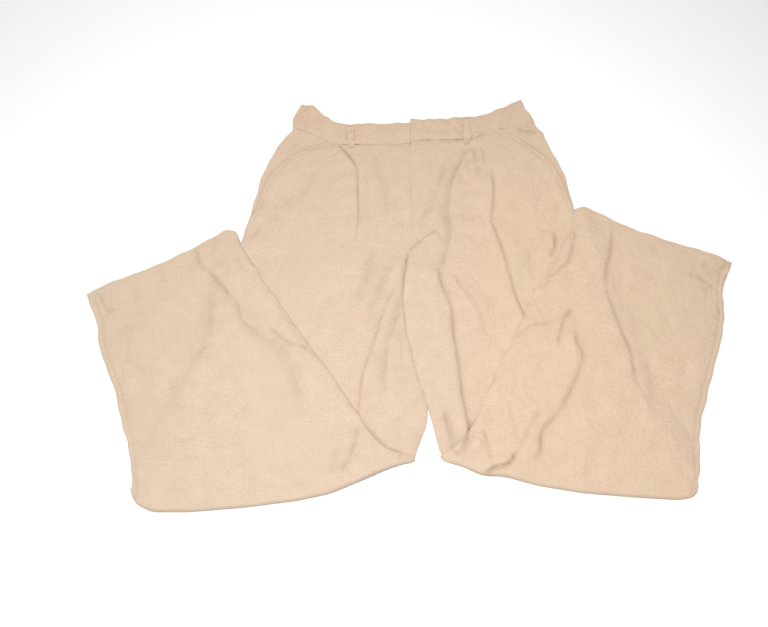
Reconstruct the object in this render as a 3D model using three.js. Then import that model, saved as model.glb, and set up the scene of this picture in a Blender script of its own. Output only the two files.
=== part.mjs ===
/**
 * Wide-leg trousers in plain linen, laid out front side up on a flat surface, with both legs folded up at
 * the knee over their own fronts, so that the back of each lower leg lies on top and points up and outwards.
 *
 * Millimetres, +Z up. The wearer's right side is at -X, the waist is towards +Y, and the surface is Z = 0.
 * The origin is on the surface, under the centre of the part's bounding box.
 *
 * Every piece is a wall of cloth. Its middle surface is worked out from a table of sections: each section
 * runs across the leg from the outseam (out) to the inseam or the centre seam (in), and the sections follow
 * one another down the leg. Creases, pleats and puffed places are rows of the tables of folds.
 */
import * as THREE from "three";

// ---- Driving sizes ----
const CLOTH = 1.2; // wall of one layer of linen
const HEM_CLOTH = 1.9; // the turned-up hem is two pressed layers
const BAND_CLOTH = 2; // a waistband is two layers with an interlining
const BAND_GAP = 0.6; // between the front and the back waistband
const BAND_SIDE_GAP = 1.5; // between their middle surfaces where they meet at the side
const SEAM_GAP = 0.3; // between two pieces that are sewn together
const TUBE_GAP = 1; // between the front and the back of a leg that lies flat
const REST_GAP = 0.5; // between a folded-up leg and what it lies on
const FOLD_CENTRE_Z = 4.5; // height of the line that the knee fold turns round
const EDGE_ROUND = 1.5; // how far in from a side seam the cloth rounds down to it
const CROWN = 1.6; // how much the loose upper layer bulges between its seams
const CROWN_REACH = 30;
const STEP_START = 2; // where a lower leg starts to come down beyond the upper leg's edge
const STEP_DOWN = 30; // and the length of that slope
const FADE_START = 4; // how far from a lower leg's edge the folds under it have died away
const FADE_END = 24;
const MOUTH_LIFT = 1.4; // the edge of a pocket mouth lies over its facing
const MOUTH_REACH = 28;
const FACING_UNDER = 8; // how far a facing runs in under the edge of the pocket mouth
const LOOP_WIDTH = 10;
const LOOP_CLOTH = 1.3;
const LOOP_ARCH = 1.6; // how far the middle of a belt loop stands off the waistband

const UPPER_TOP = CLOTH * 2 + TUBE_GAP; // top of the flat upper leg
const LOWER_BASE = UPPER_TOP + REST_GAP; // what a lower leg lies on, over the upper leg
const FOLD_BASE = FOLD_CENTRE_Z * 2 - UPPER_TOP; // and at the knee fold

// ---- Sections of the legs: out is the outseam, in is the centre seam and then the inseam ----
// The sections run from the waist to the knee fold, and from the knee fold to the hem.
const RIGHT_UPPER = [
  { outX: -201, outY: 291.7, inX: 1.35, inY: 259 }, // waist seam
  { outX: -229, outY: 246, inX: 1.35, inY: 190 },
  { outX: -249.5, outY: 185, inX: 1.35, inY: 130 },
  { outX: -259, outY: 130, inX: 1.35, inY: 76 }, // end of the fly
  { outX: -271, outY: 68, inX: -6, inY: 25 },
  { outX: -284, outY: 0, inX: -12, inY: -30 }, // crotch
  { outX: -296, outY: -60, inX: -10, inY: -75 },
  { outX: -304, outY: -120, inX: -1, inY: -125 },
  { outX: -320, outY: -180, inX: 8, inY: -170 },
  { outX: -344, outY: -240, inX: 15, inY: -206 },
  { outX: -369, outY: -290, inX: 12, inY: -246 },
  { outX: -386, outY: -322, inX: -4, inY: -279 }, // knee fold
];
const RIGHT_LOWER = [
  { outX: -386, outY: -322, inX: -4, inY: -279 }, // knee fold
  { outX: -391, outY: -298, inX: -40, inY: -272 },
  { outX: -403, outY: -263, inX: -67, inY: -243 },
  { outX: -415, outY: -235, inX: -92, inY: -203 },
  { outX: -424, outY: -209, inX: -129, inY: -148 },
  { outX: -438, outY: -175, inX: -165, inY: -101 },
  { outX: -455, outY: -143, inX: -198, inY: -51 },
  { outX: -470, outY: -109, inX: -231, inY: -7 },
  { outX: -480, outY: -73, inX: -259, inY: 38 },
  { outX: -502, outY: -34, inX: -283, inY: 79 }, // hem
];
const LEFT_UPPER = [
  { outX: 216, outY: 299.2, inX: 1.65, inY: 265 }, // waist seam
  { outX: 242, outY: 245, inX: 1.65, inY: 190 },
  { outX: 260, outY: 185, inX: 1.65, inY: 130 },
  { outX: 266, outY: 128, inX: 1.65, inY: 76 }, // end of the fly
  { outX: 278, outY: 62, inX: -5.7, inY: 25 },
  { outX: 291, outY: 0, inX: -11.7, inY: -30 }, // crotch
  { outX: 300, outY: -55, inX: -9.7, inY: -75 },
  { outX: 311, outY: -110, inX: -0.7, inY: -125 },
  { outX: 322, outY: -165, inX: 8.3, inY: -170 },
  { outX: 337, outY: -222, inX: 17.2, inY: -206 },
  { outX: 360, outY: -278, inX: 28, inY: -246 },
  { outX: 382, outY: -318, inX: 40, inY: -272 }, // knee fold
];
const LEFT_LOWER = [
  { outX: 382, outY: -318, inX: 40, inY: -272 }, // knee fold
  { outX: 390, outY: -298, inX: 62, inY: -262 },
  { outX: 397, outY: -266, inX: 84, inY: -231 },
  { outX: 407, outY: -227, inX: 106, inY: -184 },
  { outX: 422, outY: -193, inX: 128, inY: -138 },
  { outX: 436.5, outY: -158, inX: 154, inY: -92 },
  { outX: 457.5, outY: -111, inX: 180, inY: -40 },
  { outX: 471, outY: -72, inX: 211, inY: 8 },
  { outX: 480, outY: -20, inX: 248, inY: 70 },
  { outX: 503, outY: 22, inX: 266, inY: 121 }, // hem
];

// The outer edge of a front is its pocket mouth down to row 6 of these, and then the outseam.
const MOUTH_END = 6;
const RIGHT_MOUTH = [
  { outX: -138, outY: 256, inX: 1.35, inY: 259 },
  { outX: -172, outY: 248, inX: 1.35, inY: 238 },
  { outX: -207, outY: 225, inX: 1.35, inY: 210 },
  { outX: -231, outY: 196, inX: 1.35, inY: 180 },
  { outX: -244, outY: 160, inX: 1.35, inY: 148 },
  { outX: -251.5, outY: 124, inX: 1.35, inY: 112 },
  { outX: -259.5, outY: 108, inX: 1.35, inY: 92 },
  { outX: -265.3, outY: 98, inX: 1.35, inY: 76 },
  ...RIGHT_UPPER.slice(4),
];
const LEFT_MOUTH = [
  { outX: 153, outY: 287, inX: 1.65, inY: 265 },
  { outX: 182, outY: 272, inX: 1.65, inY: 242 },
  { outX: 210, outY: 248, inX: 1.65, inY: 214 },
  { outX: 236, outY: 221, inX: 1.65, inY: 184 },
  { outX: 250, outY: 186, inX: 1.65, inY: 151 },
  { outX: 258, outY: 145, inX: 1.65, inY: 116 },
  { outX: 264.5, outY: 122, inX: 1.65, inY: 94 },
  { outX: 270, outY: 108, inX: 1.65, inY: 76 },
  ...LEFT_UPPER.slice(4),
];
// A facing's sections run from a place on the outseam to a place on the mouth.
const FACING = [
  { leg: 0, mouth: 0 },
  { leg: 0.45, mouth: 0.9 },
  { leg: 0.9, mouth: 1.8 },
  { leg: 1.4, mouth: 2.7 },
  { leg: 2, mouth: 3.7 },
  { leg: 2.7, mouth: 4.6 },
  { leg: 3.15, mouth: 5.3 },
];

// ---- Edges that bend away from the straight section: y at each x ----
const RIGHT_FOLD = [
  { x: -386, y: -322 },
  { x: -377, y: -342 },
  { x: -354, y: -352 },
  { x: -305, y: -352 },
  { x: -230, y: -346 },
  { x: -160, y: -337 },
  { x: -118, y: -328 },
  { x: -71, y: -309 },
  { x: -44, y: -297 },
  { x: -4, y: -279 },
];
const LEFT_FOLD = [
  { x: 40, y: -272 },
  { x: 47, y: -281 },
  { x: 58, y: -287 },
  { x: 80, y: -293 },
  { x: 118, y: -304 },
  { x: 165, y: -317 },
  { x: 225, y: -327 },
  { x: 300, y: -333 },
  { x: 352, y: -336 },
  { x: 374, y: -333 },
  { x: 382, y: -318 },
];
const RIGHT_HEM = [
  { x: -502, y: -34 },
  { x: -471, y: -13 },
  { x: -405, y: 15 },
  { x: -350, y: 47 },
  { x: -318, y: 68 },
  { x: -297, y: 85 },
  { x: -283, y: 79 },
];
const LEFT_HEM = [
  { x: 266, y: 121 },
  { x: 281, y: 127 },
  { x: 306, y: 114 },
  { x: 348, y: 88 },
  { x: 428, y: 54 },
  { x: 487, y: 34 },
  { x: 503, y: 22 },
];
const RIGHT_WAIST = [
  { x: -201, y: 291.7 },
  { x: -172, y: 281 },
  { x: -149, y: 267 },
  { x: -124, y: 257 },
  { x: -92, y: 256 },
  { x: -46, y: 258.5 },
  { x: 1.35, y: 259 },
];
const LEFT_WAIST = [
  { x: 1.65, y: 265 },
  { x: 40, y: 266 },
  { x: 88, y: 267 },
  { x: 112, y: 271 },
  { x: 143, y: 286 },
  { x: 175, y: 293 },
  { x: 216, y: 299.2 },
];

// The back's waist edge is level where its two halves meet.
const RIGHT_BACK_WAIST = [...RIGHT_WAIST.slice(0, -1), { x: 1.35, y: 262 }];
const LEFT_BACK_WAIST = [{ x: 1.65, y: 262 }, ...LEFT_WAIST.slice(1)];

// ---- Top edge of the waistband: how far each place leans sideways and rises above the waist seam ----
const RIGHT_BAND = [
  { x: -201, lean: 12, height: 51 },
  { x: -172, lean: 6, height: 58 },
  { x: -149, lean: 0, height: 53 },
  { x: -124, lean: -6, height: 46 },
  { x: -92, lean: -8, height: 41 },
  { x: -46, lean: 0, height: 38.5 },
  { x: 1.35, lean: 0, height: 44 },
];
const LEFT_BAND = [
  { x: 1.65, lean: 0, height: 45 },
  { x: 40, lean: 0, height: 44 },
  { x: 88, lean: 0, height: 49 },
  { x: 112, lean: 0, height: 43 },
  { x: 143, lean: 0, height: 39 },
  { x: 175, lean: -3, height: 47 },
  { x: 216, lean: -18, height: 55 },
];
const BACK_BAND_DROP = 3; // the back waistband lies hidden this far under the top edge of the front one

// ---- Folds: a ridge along a bent line. steep and gentle are its half-widths on its two sides; the
// steep side is on the left of the way it runs, and both are equal where the ridge is even.
const RIGHT_UPPER_FOLDS = [
  { name: "pleat, upper", fromX: -116, fromY: 252, viaX: -88, viaY: 215, toX: -86, toY: 62, rise: 3.4, steep: 4, gentle: 22 },
  { name: "thigh puff", fromX: -200, fromY: 190, viaX: -175, viaY: 60, toX: -150, toY: -60, rise: 3.2, steep: 52, gentle: 52 },
  { name: "fly side", fromX: -40, fromY: 240, viaX: -28, viaY: 140, toX: -40, toY: 20, rise: 2.2, steep: 20, gentle: 20 },
  { name: "crotch drag, outer", fromX: -20, fromY: -35, viaX: -62, viaY: -110, toX: -58, toY: -250, rise: 4.2, steep: 18, gentle: 9 },
  { name: "crotch drag, inner", fromX: -4, fromY: -95, viaX: -20, viaY: -170, toX: -14, toY: -250, rise: 3, steep: 14, gentle: 12 },
];
const LEFT_UPPER_FOLDS = [
  { name: "pleat, inner upper", fromX: 92, fromY: 258, viaX: 60, viaY: 150, toX: 64, toY: 40, rise: 5, steep: 26, gentle: 5 },
  { name: "pleat, inner lower", fromX: 60, fromY: 70, viaX: 26, viaY: -10, toX: 56, toY: -150, rise: 4.2, steep: 7, gentle: 24 },
  { name: "knee roll", fromX: 44, fromY: -40, viaX: 44, viaY: -160, toX: 52, toY: -262, rise: 4.5, steep: 8, gentle: 20 },
  { name: "pleat, outer", fromX: 116, fromY: 250, viaX: 130, viaY: 120, toX: 165, toY: -50, rise: 4.5, steep: 5, gentle: 24 },
  { name: "crotch roll", fromX: 50, fromY: 92, viaX: -6, viaY: 40, toX: 10, toY: -140, rise: 3.2, steep: 20, gentle: 16 },
  { name: "hip puff", fromX: 190, fromY: 220, viaX: 205, viaY: 120, toX: 190, toY: 40, rise: 2.6, steep: 34, gentle: 34 },
];
const RIGHT_LOWER_FOLDS = [
  { name: "crease from the hem", fromX: -330, fromY: 62, viaX: -285, viaY: -40, toX: -166, toY: -150, rise: 4, steep: 30, gentle: 7 },
  { name: "shin roll", fromX: -232, fromY: 10, viaX: -190, viaY: -70, toX: -130, toY: -130, rise: 2.6, steep: 16, gentle: 18 },
  { name: "calf puff", fromX: -330, fromY: -120, viaX: -280, viaY: -200, toX: -270, toY: -300, rise: 3, steep: 55, gentle: 55 },
  { name: "knee corner", fromX: -88, fromY: -235, viaX: -120, viaY: -270, toX: -150, toY: -310, rise: 2.4, steep: 16, gentle: 16 },
];
const LEFT_LOWER_FOLDS = [
  { name: "long crease, upper", fromX: 330, fromY: 100, viaX: 286, viaY: 10, toX: 305, toY: -90, rise: 5, steep: 7, gentle: 34 },
  { name: "long crease, lower", fromX: 298, fromY: -50, viaX: 318, viaY: -140, toX: 338, toY: -240, rise: 4, steep: 8, gentle: 34 },
  { name: "knee crease", fromX: 250, fromY: -100, viaX: 220, viaY: -190, toX: 158, toY: -290, rise: 5, steep: 26, gentle: 7 },
  { name: "shin crease", fromX: 165, fromY: -88, viaX: 215, viaY: -80, toX: 258, toY: -30, rise: 3, steep: 12, gentle: 12 },
  { name: "knee curl", fromX: 92, fromY: -292, viaX: 130, viaY: -290, toX: 152, toY: -255, rise: 3, steep: 12, gentle: 12 },
];

// ---- Small helpers ----
const clamp01 = (x) => Math.min(1, Math.max(0, x));
const lerp = (a, b, s) => a + (b - a) * s;

function smoothstep(low, high, x) {
  const s = clamp01((x - low) / (high - low));
  return s * s * (3 - 2 * s);
}

/** One named column of a table at a place between its rows, on a smooth curve through them. */
function column(table, name, at) {
  const last = table.length - 1;
  const i = Math.min(last - 1, Math.max(0, Math.floor(at)));
  const s = at - i;
  const [a, b, c, d] = [i - 1, i, i + 1, i + 2].map((k) => table[Math.min(last, Math.max(0, k))][name]);
  return b + 0.5 * s * (c - a + s * (2 * a - 5 * b + 4 * c - d + s * (3 * (b - c) + d - a)));
}

/** One named column of a table whose rows stand at rising x, straight between them. */
function columnAtX(table, name, x) {
  const k = table.findIndex((row) => row.x >= x);
  const i = k < 0 ? table.length - 1 : Math.max(1, k);
  const [p, q] = [table[i - 1], table[i]];
  return lerp(p[name], q[name], clamp01((x - p.x) / (q.x - p.x)));
}

/** Places from first to last in equal steps, both ends included. */
const steps = (first, last, count) => Array.from({ length: count + 1 }, (_, i) => lerp(first, last, i / count));

/** Signed distance from a point to a line; it is positive on the left of the way the line runs. */
function besideLine(x, y, points) {
  let best = Infinity;
  let signed = 0;
  for (let i = 0; i + 1 < points.length; i++) {
    const [p, q] = [points[i], points[i + 1]];
    const [dx, dy] = [q.x - p.x, q.y - p.y];
    const s = clamp01(((x - p.x) * dx + (y - p.y) * dy) / (dx * dx + dy * dy));
    const distance = Math.hypot(x - p.x - s * dx, y - p.y - s * dy);
    if (distance < best - 1e-9) {
      best = distance;
      signed = Math.sign(dx * (y - p.y) - dy * (x - p.x)) * distance;
    }
  }
  return signed;
}

// ---- Relief: how far the folds lift the cloth at a place in plan ----
const FOLD_PIECES = 8; // straight pieces that a fold's bent line is measured in
const FOLD_END = 0.22; // share of a fold's length over which each end dies away

/** Points along the bent line of a fold. */
function foldLine(fold) {
  return steps(0, 1, FOLD_PIECES).map((s) => {
    const [a, b, c] = [(1 - s) * (1 - s), 2 * s * (1 - s), s * s];
    return {
      x: a * fold.fromX + b * fold.viaX + c * fold.toX,
      y: a * fold.fromY + b * fold.viaY + c * fold.toY,
    };
  });
}

function foldRise(fold, x, y) {
  const line = foldLine(fold);
  const signed = besideLine(x, y, line);
  const [dx, dy] = [fold.toX - fold.fromX, fold.toY - fold.fromY];
  const along = clamp01(((x - fold.fromX) * dx + (y - fold.fromY) * dy) / (dx * dx + dy * dy));
  const ends = smoothstep(0, FOLD_END, along) * smoothstep(0, FOLD_END, 1 - along);
  const width = signed > 0 ? fold.steep : fold.gentle;
  return fold.rise * ends * Math.exp(-((signed / width) ** 2));
}

/** Folds that cross or lie side by side run into one another rather than add up. */
const relief = (folds, x, y) => Math.sqrt(folds.reduce((sum, fold) => sum + foldRise(fold, x, y) ** 2, 0));

// ---- Legs ----
const RIGHT = {
  side: "right",
  outward: 1, // which side of its own outer edge, seen down the leg, the right leg lies on
  upper: RIGHT_UPPER,
  lower: RIGHT_LOWER,
  mouth: RIGHT_MOUTH,
  fold: RIGHT_FOLD,
  hem: RIGHT_HEM,
  waist: RIGHT_WAIST,
  backWaist: RIGHT_BACK_WAIST,
  band: RIGHT_BAND,
  loop: { topX: -103, topY: 296, endX: -99, endY: 248 },
  upperFolds: RIGHT_UPPER_FOLDS,
  lowerFolds: RIGHT_LOWER_FOLDS,
};
const LEFT = {
  side: "left",
  outward: -1,
  upper: LEFT_UPPER,
  lower: LEFT_LOWER,
  mouth: LEFT_MOUTH,
  fold: LEFT_FOLD,
  hem: LEFT_HEM,
  waist: LEFT_WAIST,
  backWaist: LEFT_BACK_WAIST,
  band: LEFT_BAND,
  loop: { topX: 98, topY: 313, endX: 98, endY: 255 },
  upperFolds: LEFT_UPPER_FOLDS,
  lowerFolds: LEFT_LOWER_FOLDS,
};
for (const leg of [RIGHT, LEFT]) {
  leg.upperEdge = leg.upper.map((row) => ({ x: row.outX, y: row.outY }));
  leg.lowerEdge = leg.lower.map((row) => ({ x: row.inX, y: row.inY }));
  leg.mouthEdge = leg.mouth.slice(0, MOUTH_END + 1).map((row) => ({ x: row.outX, y: row.outY }));
}

/** How much of the upper leg's loose shape is left: none where the lower leg covers it. */
const openShare = (leg, x, y) => smoothstep(FADE_START, FADE_END, -leg.outward * besideLine(x, y, leg.lowerEdge));

/** Height of what a lower leg lies on: the upper leg, or the surface beyond the upper leg's edge. */
function baseUnderLower(leg, x, y, nearFold) {
  const outside = -leg.outward * besideLine(x, y, leg.upperEdge);
  const full = lerp(LOWER_BASE, FOLD_BASE, nearFold);
  return full * (1 - smoothstep(STEP_START, STEP_START + STEP_DOWN, outside));
}

/**
 * A place across a section. across is 0 at the outer edge, 1 where its rounding ends, 2 where the rounding
 * of the inner edge starts and 3 at the inner edge. The share is the way from the outer to the inner edge.
 * Where an edge is rounded, its wall stands upright, half a cloth inside the edge.
 */
function acrossSection(across, width, rounded) {
  const outInset = rounded.out ? CLOTH / 2 : 0;
  const inInset = rounded.in ? CLOTH / 2 : 0;
  const upright = Math.sin((Math.min(across, 3 - across, 1) * Math.PI) / 2);
  const turned = EDGE_ROUND * (1 - Math.sqrt(1 - upright * upright));
  if (across < 1) {
    return { share: (outInset + turned) / width, outRound: rounded.out ? upright : 1, inRound: 1 };
  }
  if (across > 2) {
    return { share: 1 - (inInset + turned) / width, outRound: 1, inRound: rounded.in ? upright : 1 };
  }
  const [first, last] = [outInset + EDGE_ROUND, width - inInset - EDGE_ROUND];
  return { share: lerp(first, last, across - 1) / width, outRound: 1, inRound: 1 };
}

const BOTH_ROUNDED = { out: true, in: true };

/** A place in plan on a section between its two edges, moved in y by an edge that bends away from it. */
function planPlace(table, at, across, bends, rounded) {
  const [outX, outY] = [column(table, "outX", at), column(table, "outY", at)];
  const [inX, inY] = [column(table, "inX", at), column(table, "inY", at)];
  const width = Math.hypot(inX - outX, inY - outY);
  const section = acrossSection(across, width, rounded);
  const x = lerp(outX, inX, section.share);
  let y = lerp(outY, inY, section.share);
  for (const bend of bends) {
    const row = table[bend.row];
    const straight = lerp(row.outY, row.inY, section.share);
    y += bend.share * (columnAtX(bend.edge, "y", lerp(row.outX, row.inX, section.share)) - straight);
  }
  const toEdge = Math.min(section.share, 1 - section.share) * width;
  return { x, y, width, toEdge, ...section };
}

/** Middle height of one layer of a flat tube between its seam and its full height, on a base. */
function layerHeight(front, cloth, rounding) {
  const seam = cloth + TUBE_GAP / 2 + (front ? SEAM_GAP / 2 : -SEAM_GAP / 2);
  const full = front ? cloth * 1.5 + TUBE_GAP : cloth / 2;
  return lerp(seam, full, rounding);
}

const crown = (toEdge) => CROWN * (1 - Math.exp(-toEdge / CROWN_REACH));

/**
 * The middle surface of a front or back panel. along is the row of the upper table from the waist to the
 * knee, then one step round the knee fold, and then the rows of the lower table to the hem.
 */
function panelPlace(leg, front) {
  const upper = front ? leg.mouth : leg.upper;
  const knee = upper.length - 1;
  const hemRow = leg.lower.length - 1;
  return (across, along) => {
    if (along <= knee) {
      const rounded = { out: !front || along > MOUTH_END + 0.01, in: along > knee - 7.99 };
      const nearFold = clamp01((along - knee + 4) / 4) ** 2;
      const nearWaist = 1 - smoothstep(0, front ? 3 : 2, along);
      const plan = planPlace(upper, along, across, [
        { row: knee, edge: leg.fold, share: nearFold },
        { row: 0, edge: front ? leg.waist : leg.backWaist, share: nearWaist },
      ], rounded);
      const rounding = plan.outRound * plan.inRound;
      const z = layerHeight(front, CLOTH, rounding);
      if (!front) {
        return new THREE.Vector3(plan.x, plan.y, z);
      }
      const open = openShare(leg, plan.x, plan.y) * rounding * (1 - smoothstep(0.3, 1, nearFold));
      const toMouth = Math.abs(besideLine(plan.x, plan.y, leg.mouthEdge));
      const mouth = MOUTH_LIFT * (1 - smoothstep(10, MOUTH_REACH, toMouth)) * rounding;
      const pastMouth = 1 - smoothstep(MOUTH_END, MOUTH_END + 1, along);
      const loose = crown(plan.toEdge) + relief(leg.upperFolds, plan.x, plan.y);
      return new THREE.Vector3(plan.x, plan.y, z + loose * open + mouth * pastMouth);
    }
    const row = Math.max(0, along - knee - 1);
    const nearFold = (1 - clamp01(row / 3)) ** 2;
    const hemShare = smoothstep(4.5, 8, row);
    const plan = planPlace(leg.lower, row, across, [
      { row: 0, edge: leg.fold, share: nearFold },
      { row: hemRow, edge: leg.hem, share: hemShare },
    ], BOTH_ROUNDED);
    const rounding = plan.outRound * plan.inRound;
    const cloth = lerp(CLOTH, HEM_CLOTH, smoothstep(hemRow - 0.88, hemRow - 0.84, row));
    const full = layerHeight(!front, cloth, rounding);
    const base = baseUnderLower(leg, plan.x, plan.y, nearFold);
    const loose = front ? 0 : (crown(plan.toEdge) + relief(leg.lowerFolds, plan.x, plan.y)) * rounding;
    const lifted = base + full + loose * (1 - 0.75 * smoothstep(hemRow - 2, hemRow, row));
    if (row > 0) {
      return new THREE.Vector3(plan.x, plan.y, lifted);
    }
    const radius = FOLD_CENTRE_Z - layerHeight(front, CLOTH, rounding);
    const turn = (along - knee) * Math.PI;
    const slope = (columnAtX(leg.fold, "y", plan.x + 12) - columnAtX(leg.fold, "y", plan.x - 12)) / 24;
    const outward = new THREE.Vector3(slope, -1, 0).normalize().multiplyScalar(radius * Math.sin(turn));
    const z = FOLD_CENTRE_Z - radius * Math.cos(turn) + loose * (1 - Math.cos(turn)) / 2;
    return new THREE.Vector3(plan.x, plan.y, z).add(outward);
  };
}

// ---- Walls ----
const NUDGE = 1e-3;

/**
 * A closed wall round a middle surface. place(across, along) gives the surface, and thickness(across, along)
 * the wall there; both take the places in the two lists.
 */
function wall(name, place, across, along, thickness, material) {
  const sides = [[], []];
  for (const v of along) {
    for (const u of across) {
      const [u0, u1] = [Math.max(across[0], u - NUDGE), Math.min(across.at(-1), u + NUDGE)];
      const [v0, v1] = [Math.max(along[0], v - NUDGE), Math.min(along.at(-1), v + NUDGE)];
      const du = place(u1, v).sub(place(u0, v));
      const dv = place(u, v1).sub(place(u, v0));
      const half = du.cross(dv).normalize().multiplyScalar(thickness(u, v) / 2);
      const middle = place(u, v);
      sides[0].push(middle.clone().add(half));
      sides[1].push(middle.clone().sub(half));
    }
  }
  const columns = across.length;
  const rows = along.length;
  const points = [...sides[0], ...sides[1]];
  const faces = [];
  const quad = (a, b, c, d) => faces.push(a, b, c, a, c, d);
  const under = sides[0].length;
  const at = (i, j) => j * columns + i;
  for (let j = 0; j + 1 < rows; j++) {
    for (let i = 0; i + 1 < columns; i++) {
      quad(at(i, j), at(i + 1, j), at(i + 1, j + 1), at(i, j + 1));
      quad(under + at(i, j), under + at(i, j + 1), under + at(i + 1, j + 1), under + at(i + 1, j));
    }
    const right = columns - 1;
    quad(at(0, j + 1), under + at(0, j + 1), under + at(0, j), at(0, j));
    quad(at(right, j), under + at(right, j), under + at(right, j + 1), at(right, j + 1));
  }
  for (let i = 0; i + 1 < columns; i++) {
    const top = rows - 1;
    quad(at(i, 0), under + at(i, 0), under + at(i + 1, 0), at(i + 1, 0));
    quad(at(i + 1, top), under + at(i + 1, top), under + at(i, top), at(i, top));
  }
  const geometry = new THREE.BufferGeometry().setFromPoints(points);
  geometry.setIndex(faces);
  geometry.computeVertexNormals();
  const mesh = new THREE.Mesh(geometry, material);
  mesh.name = name;
  return mesh;
}

const material = (name, color) => new THREE.MeshStandardMaterial({ name, color, roughness: 0.9, metalness: 0 });
const LINEN = material("linen", 0xe6cdb0);

/** Places across a panel: two steps round each edge, and the given number over the rest of its width. */
const acrossPanel = (count) => [0, 0.5, ...steps(1, 2, count), 2.5, 3];
const PANEL_STEPS = 20;

function panel(leg, front) {
  const knee = (front ? leg.mouth : leg.upper).length - 1;
  const start = knee + 1;
  const hemRow = leg.lower.length - 1;
  const hemLine = hemRow - 0.88;
  const upperRows = front
    ? [...steps(0, MOUTH_END, 6), 6.5, 7, 7.3, ...steps(8, knee, 9)]
    : [0, 1.5, 3, 3.3, 4, 5, ...steps(6, knee, 5)];
  const fold = steps(knee, start, 5).slice(1);
  const lowerRows = [...steps(0, hemLine, 12).slice(1), hemLine + 0.04, hemRow];
  const along = [...upperRows, ...fold, ...lowerRows.map((row) => start + row)];
  const name = `${front ? "front" : "back"}_${leg.side}`;
  const cloth = (_, v) => lerp(CLOTH, HEM_CLOTH, smoothstep(hemLine, hemLine + 0.04, v - start));
  return wall(name, panelPlace(leg, front), acrossPanel(PANEL_STEPS), along, cloth, LINEN);
}

/** The sections of a facing, which shows between the outseam and the mouth and runs in under its edge. */
function facingRows(leg) {
  const rows = FACING.map((row) => {
    const [mouthX, mouthY] = [column(leg.mouth, "outX", row.mouth), column(leg.mouth, "outY", row.mouth)];
    const [outX, outY] = [column(leg.upper, "outX", row.leg), column(leg.upper, "outY", row.leg)];
    const dx = column(leg.mouth, "outX", row.mouth + 0.1) - mouthX;
    const dy = column(leg.mouth, "outY", row.mouth + 0.1) - mouthY;
    const inward = (FACING_UNDER * leg.outward) / Math.hypot(dx, dy);
    return { outX, outY, inX: mouthX - dy * inward, inY: mouthY + dx * inward };
  });
  rows[0].inX = leg.mouth[0].outX + FACING_UNDER * leg.outward;
  rows[0].inY = columnAtX(leg.waist, "y", rows[0].inX);
  return rows;
}

const FACING_ACROSS = [0, 0.5, ...steps(1, 2, 5), 3];
const OUT_ROUNDED = { out: true, in: false };

function facing(leg) {
  const rows = facingRows(leg);
  const place = (across, along) => {
    const plan = planPlace(rows, along, across, [
      { row: 0, edge: leg.waist, share: 1 - smoothstep(0, 2, along) },
    ], OUT_ROUNDED);
    return new THREE.Vector3(plan.x, plan.y, layerHeight(true, CLOTH, plan.outRound));
  };
  return wall(`pocket_facing_${leg.side}`, place, FACING_ACROSS, steps(0, FACING.length - 1, 8), () => CLOTH, LINEN);
}

/** Where the points of a panel's top edge are: their x, and how far the cloth is round its side seam. */
const topEdge = (table, acrosses, rounded) =>
  acrosses.map((across) => {
    const plan = planPlace(table, 0, across, [], rounded);
    return { x: plan.x, round: plan.outRound };
  });

/** A waistband wall over a list of places along it, from the waist seam up to its top edge. */
function waistband(name, places, front, waistAt, topAt) {
  const place = (across, along) => {
    const i = Math.min(places.length - 2, Math.floor(across));
    const x = lerp(places[i].x, places[i + 1].x, across - i);
    const round = lerp(places[i].round, places[i + 1].round, across - i);
    const seam = BAND_CLOTH + BAND_GAP / 2 + (front ? BAND_SIDE_GAP / 2 : -BAND_SIDE_GAP / 2);
    const full = front ? BAND_CLOTH * 1.5 + BAND_GAP : BAND_CLOTH / 2;
    const top = topAt(x);
    const y = waistAt(x) + SEAM_GAP * 1.2 + along * top.height;
    return new THREE.Vector3(x + along ** 2 * top.lean, y, lerp(seam, full, round));
  };
  const across = places.map((_, i) => i);
  return wall(name, place, across, [0, 0.5, 1], () => BAND_CLOTH, LINEN);
}

function frontBand(leg) {
  const shown = topEdge(facingRows(leg), FACING_ACROSS, OUT_ROUNDED).slice(0, -1);
  const mouthX = leg.mouth[0].outX;
  const places = [
    ...shown.filter((p) => (p.x - mouthX) * leg.outward < -1),
    ...topEdge(leg.mouth, acrossPanel(PANEL_STEPS), { out: false, in: false }),
  ];
  const topAt = (x) => ({ lean: columnAtX(leg.band, "lean", x), height: columnAtX(leg.band, "height", x) });
  const waistAt = (x) => columnAtX(leg.waist, "y", x);
  return waistband(`waistband_front_${leg.side}`, places, true, waistAt, topAt);
}

function backBand() {
  const right = topEdge(RIGHT.upper, acrossPanel(PANEL_STEPS), OUT_ROUNDED);
  const left = topEdge(LEFT.upper, acrossPanel(PANEL_STEPS), OUT_ROUNDED).reverse();
  const places = [...right.slice(0, -1), ...left.slice(1)];
  const legAt = (x) => (x < 1.5 ? RIGHT : LEFT);
  const level = (name, x) => {
    const middle = lerp(columnAtX(RIGHT.band, name, 1.35), columnAtX(LEFT.band, name, 1.65), 0.5);
    return lerp(middle, columnAtX(legAt(x).band, name, x), smoothstep(0, 40, Math.abs(x - 1.5)));
  };
  const topAt = (x) => ({ lean: level("lean", x), height: level("height", x) - BACK_BAND_DROP });
  const waistAt = (x) => columnAtX(legAt(x).backWaist, "y", x);
  return waistband("waistband_back", places, false, waistAt, topAt);
}

/** The highest that the cloth of a front reaches at a place near the waist. */
function frontTop(leg, x, y) {
  const mouth = MOUTH_LIFT * (1 - smoothstep(10, MOUTH_REACH, Math.abs(besideLine(x, y, leg.mouthEdge))));
  return UPPER_TOP + CROWN + mouth + relief(leg.upperFolds, x, y);
}

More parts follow.
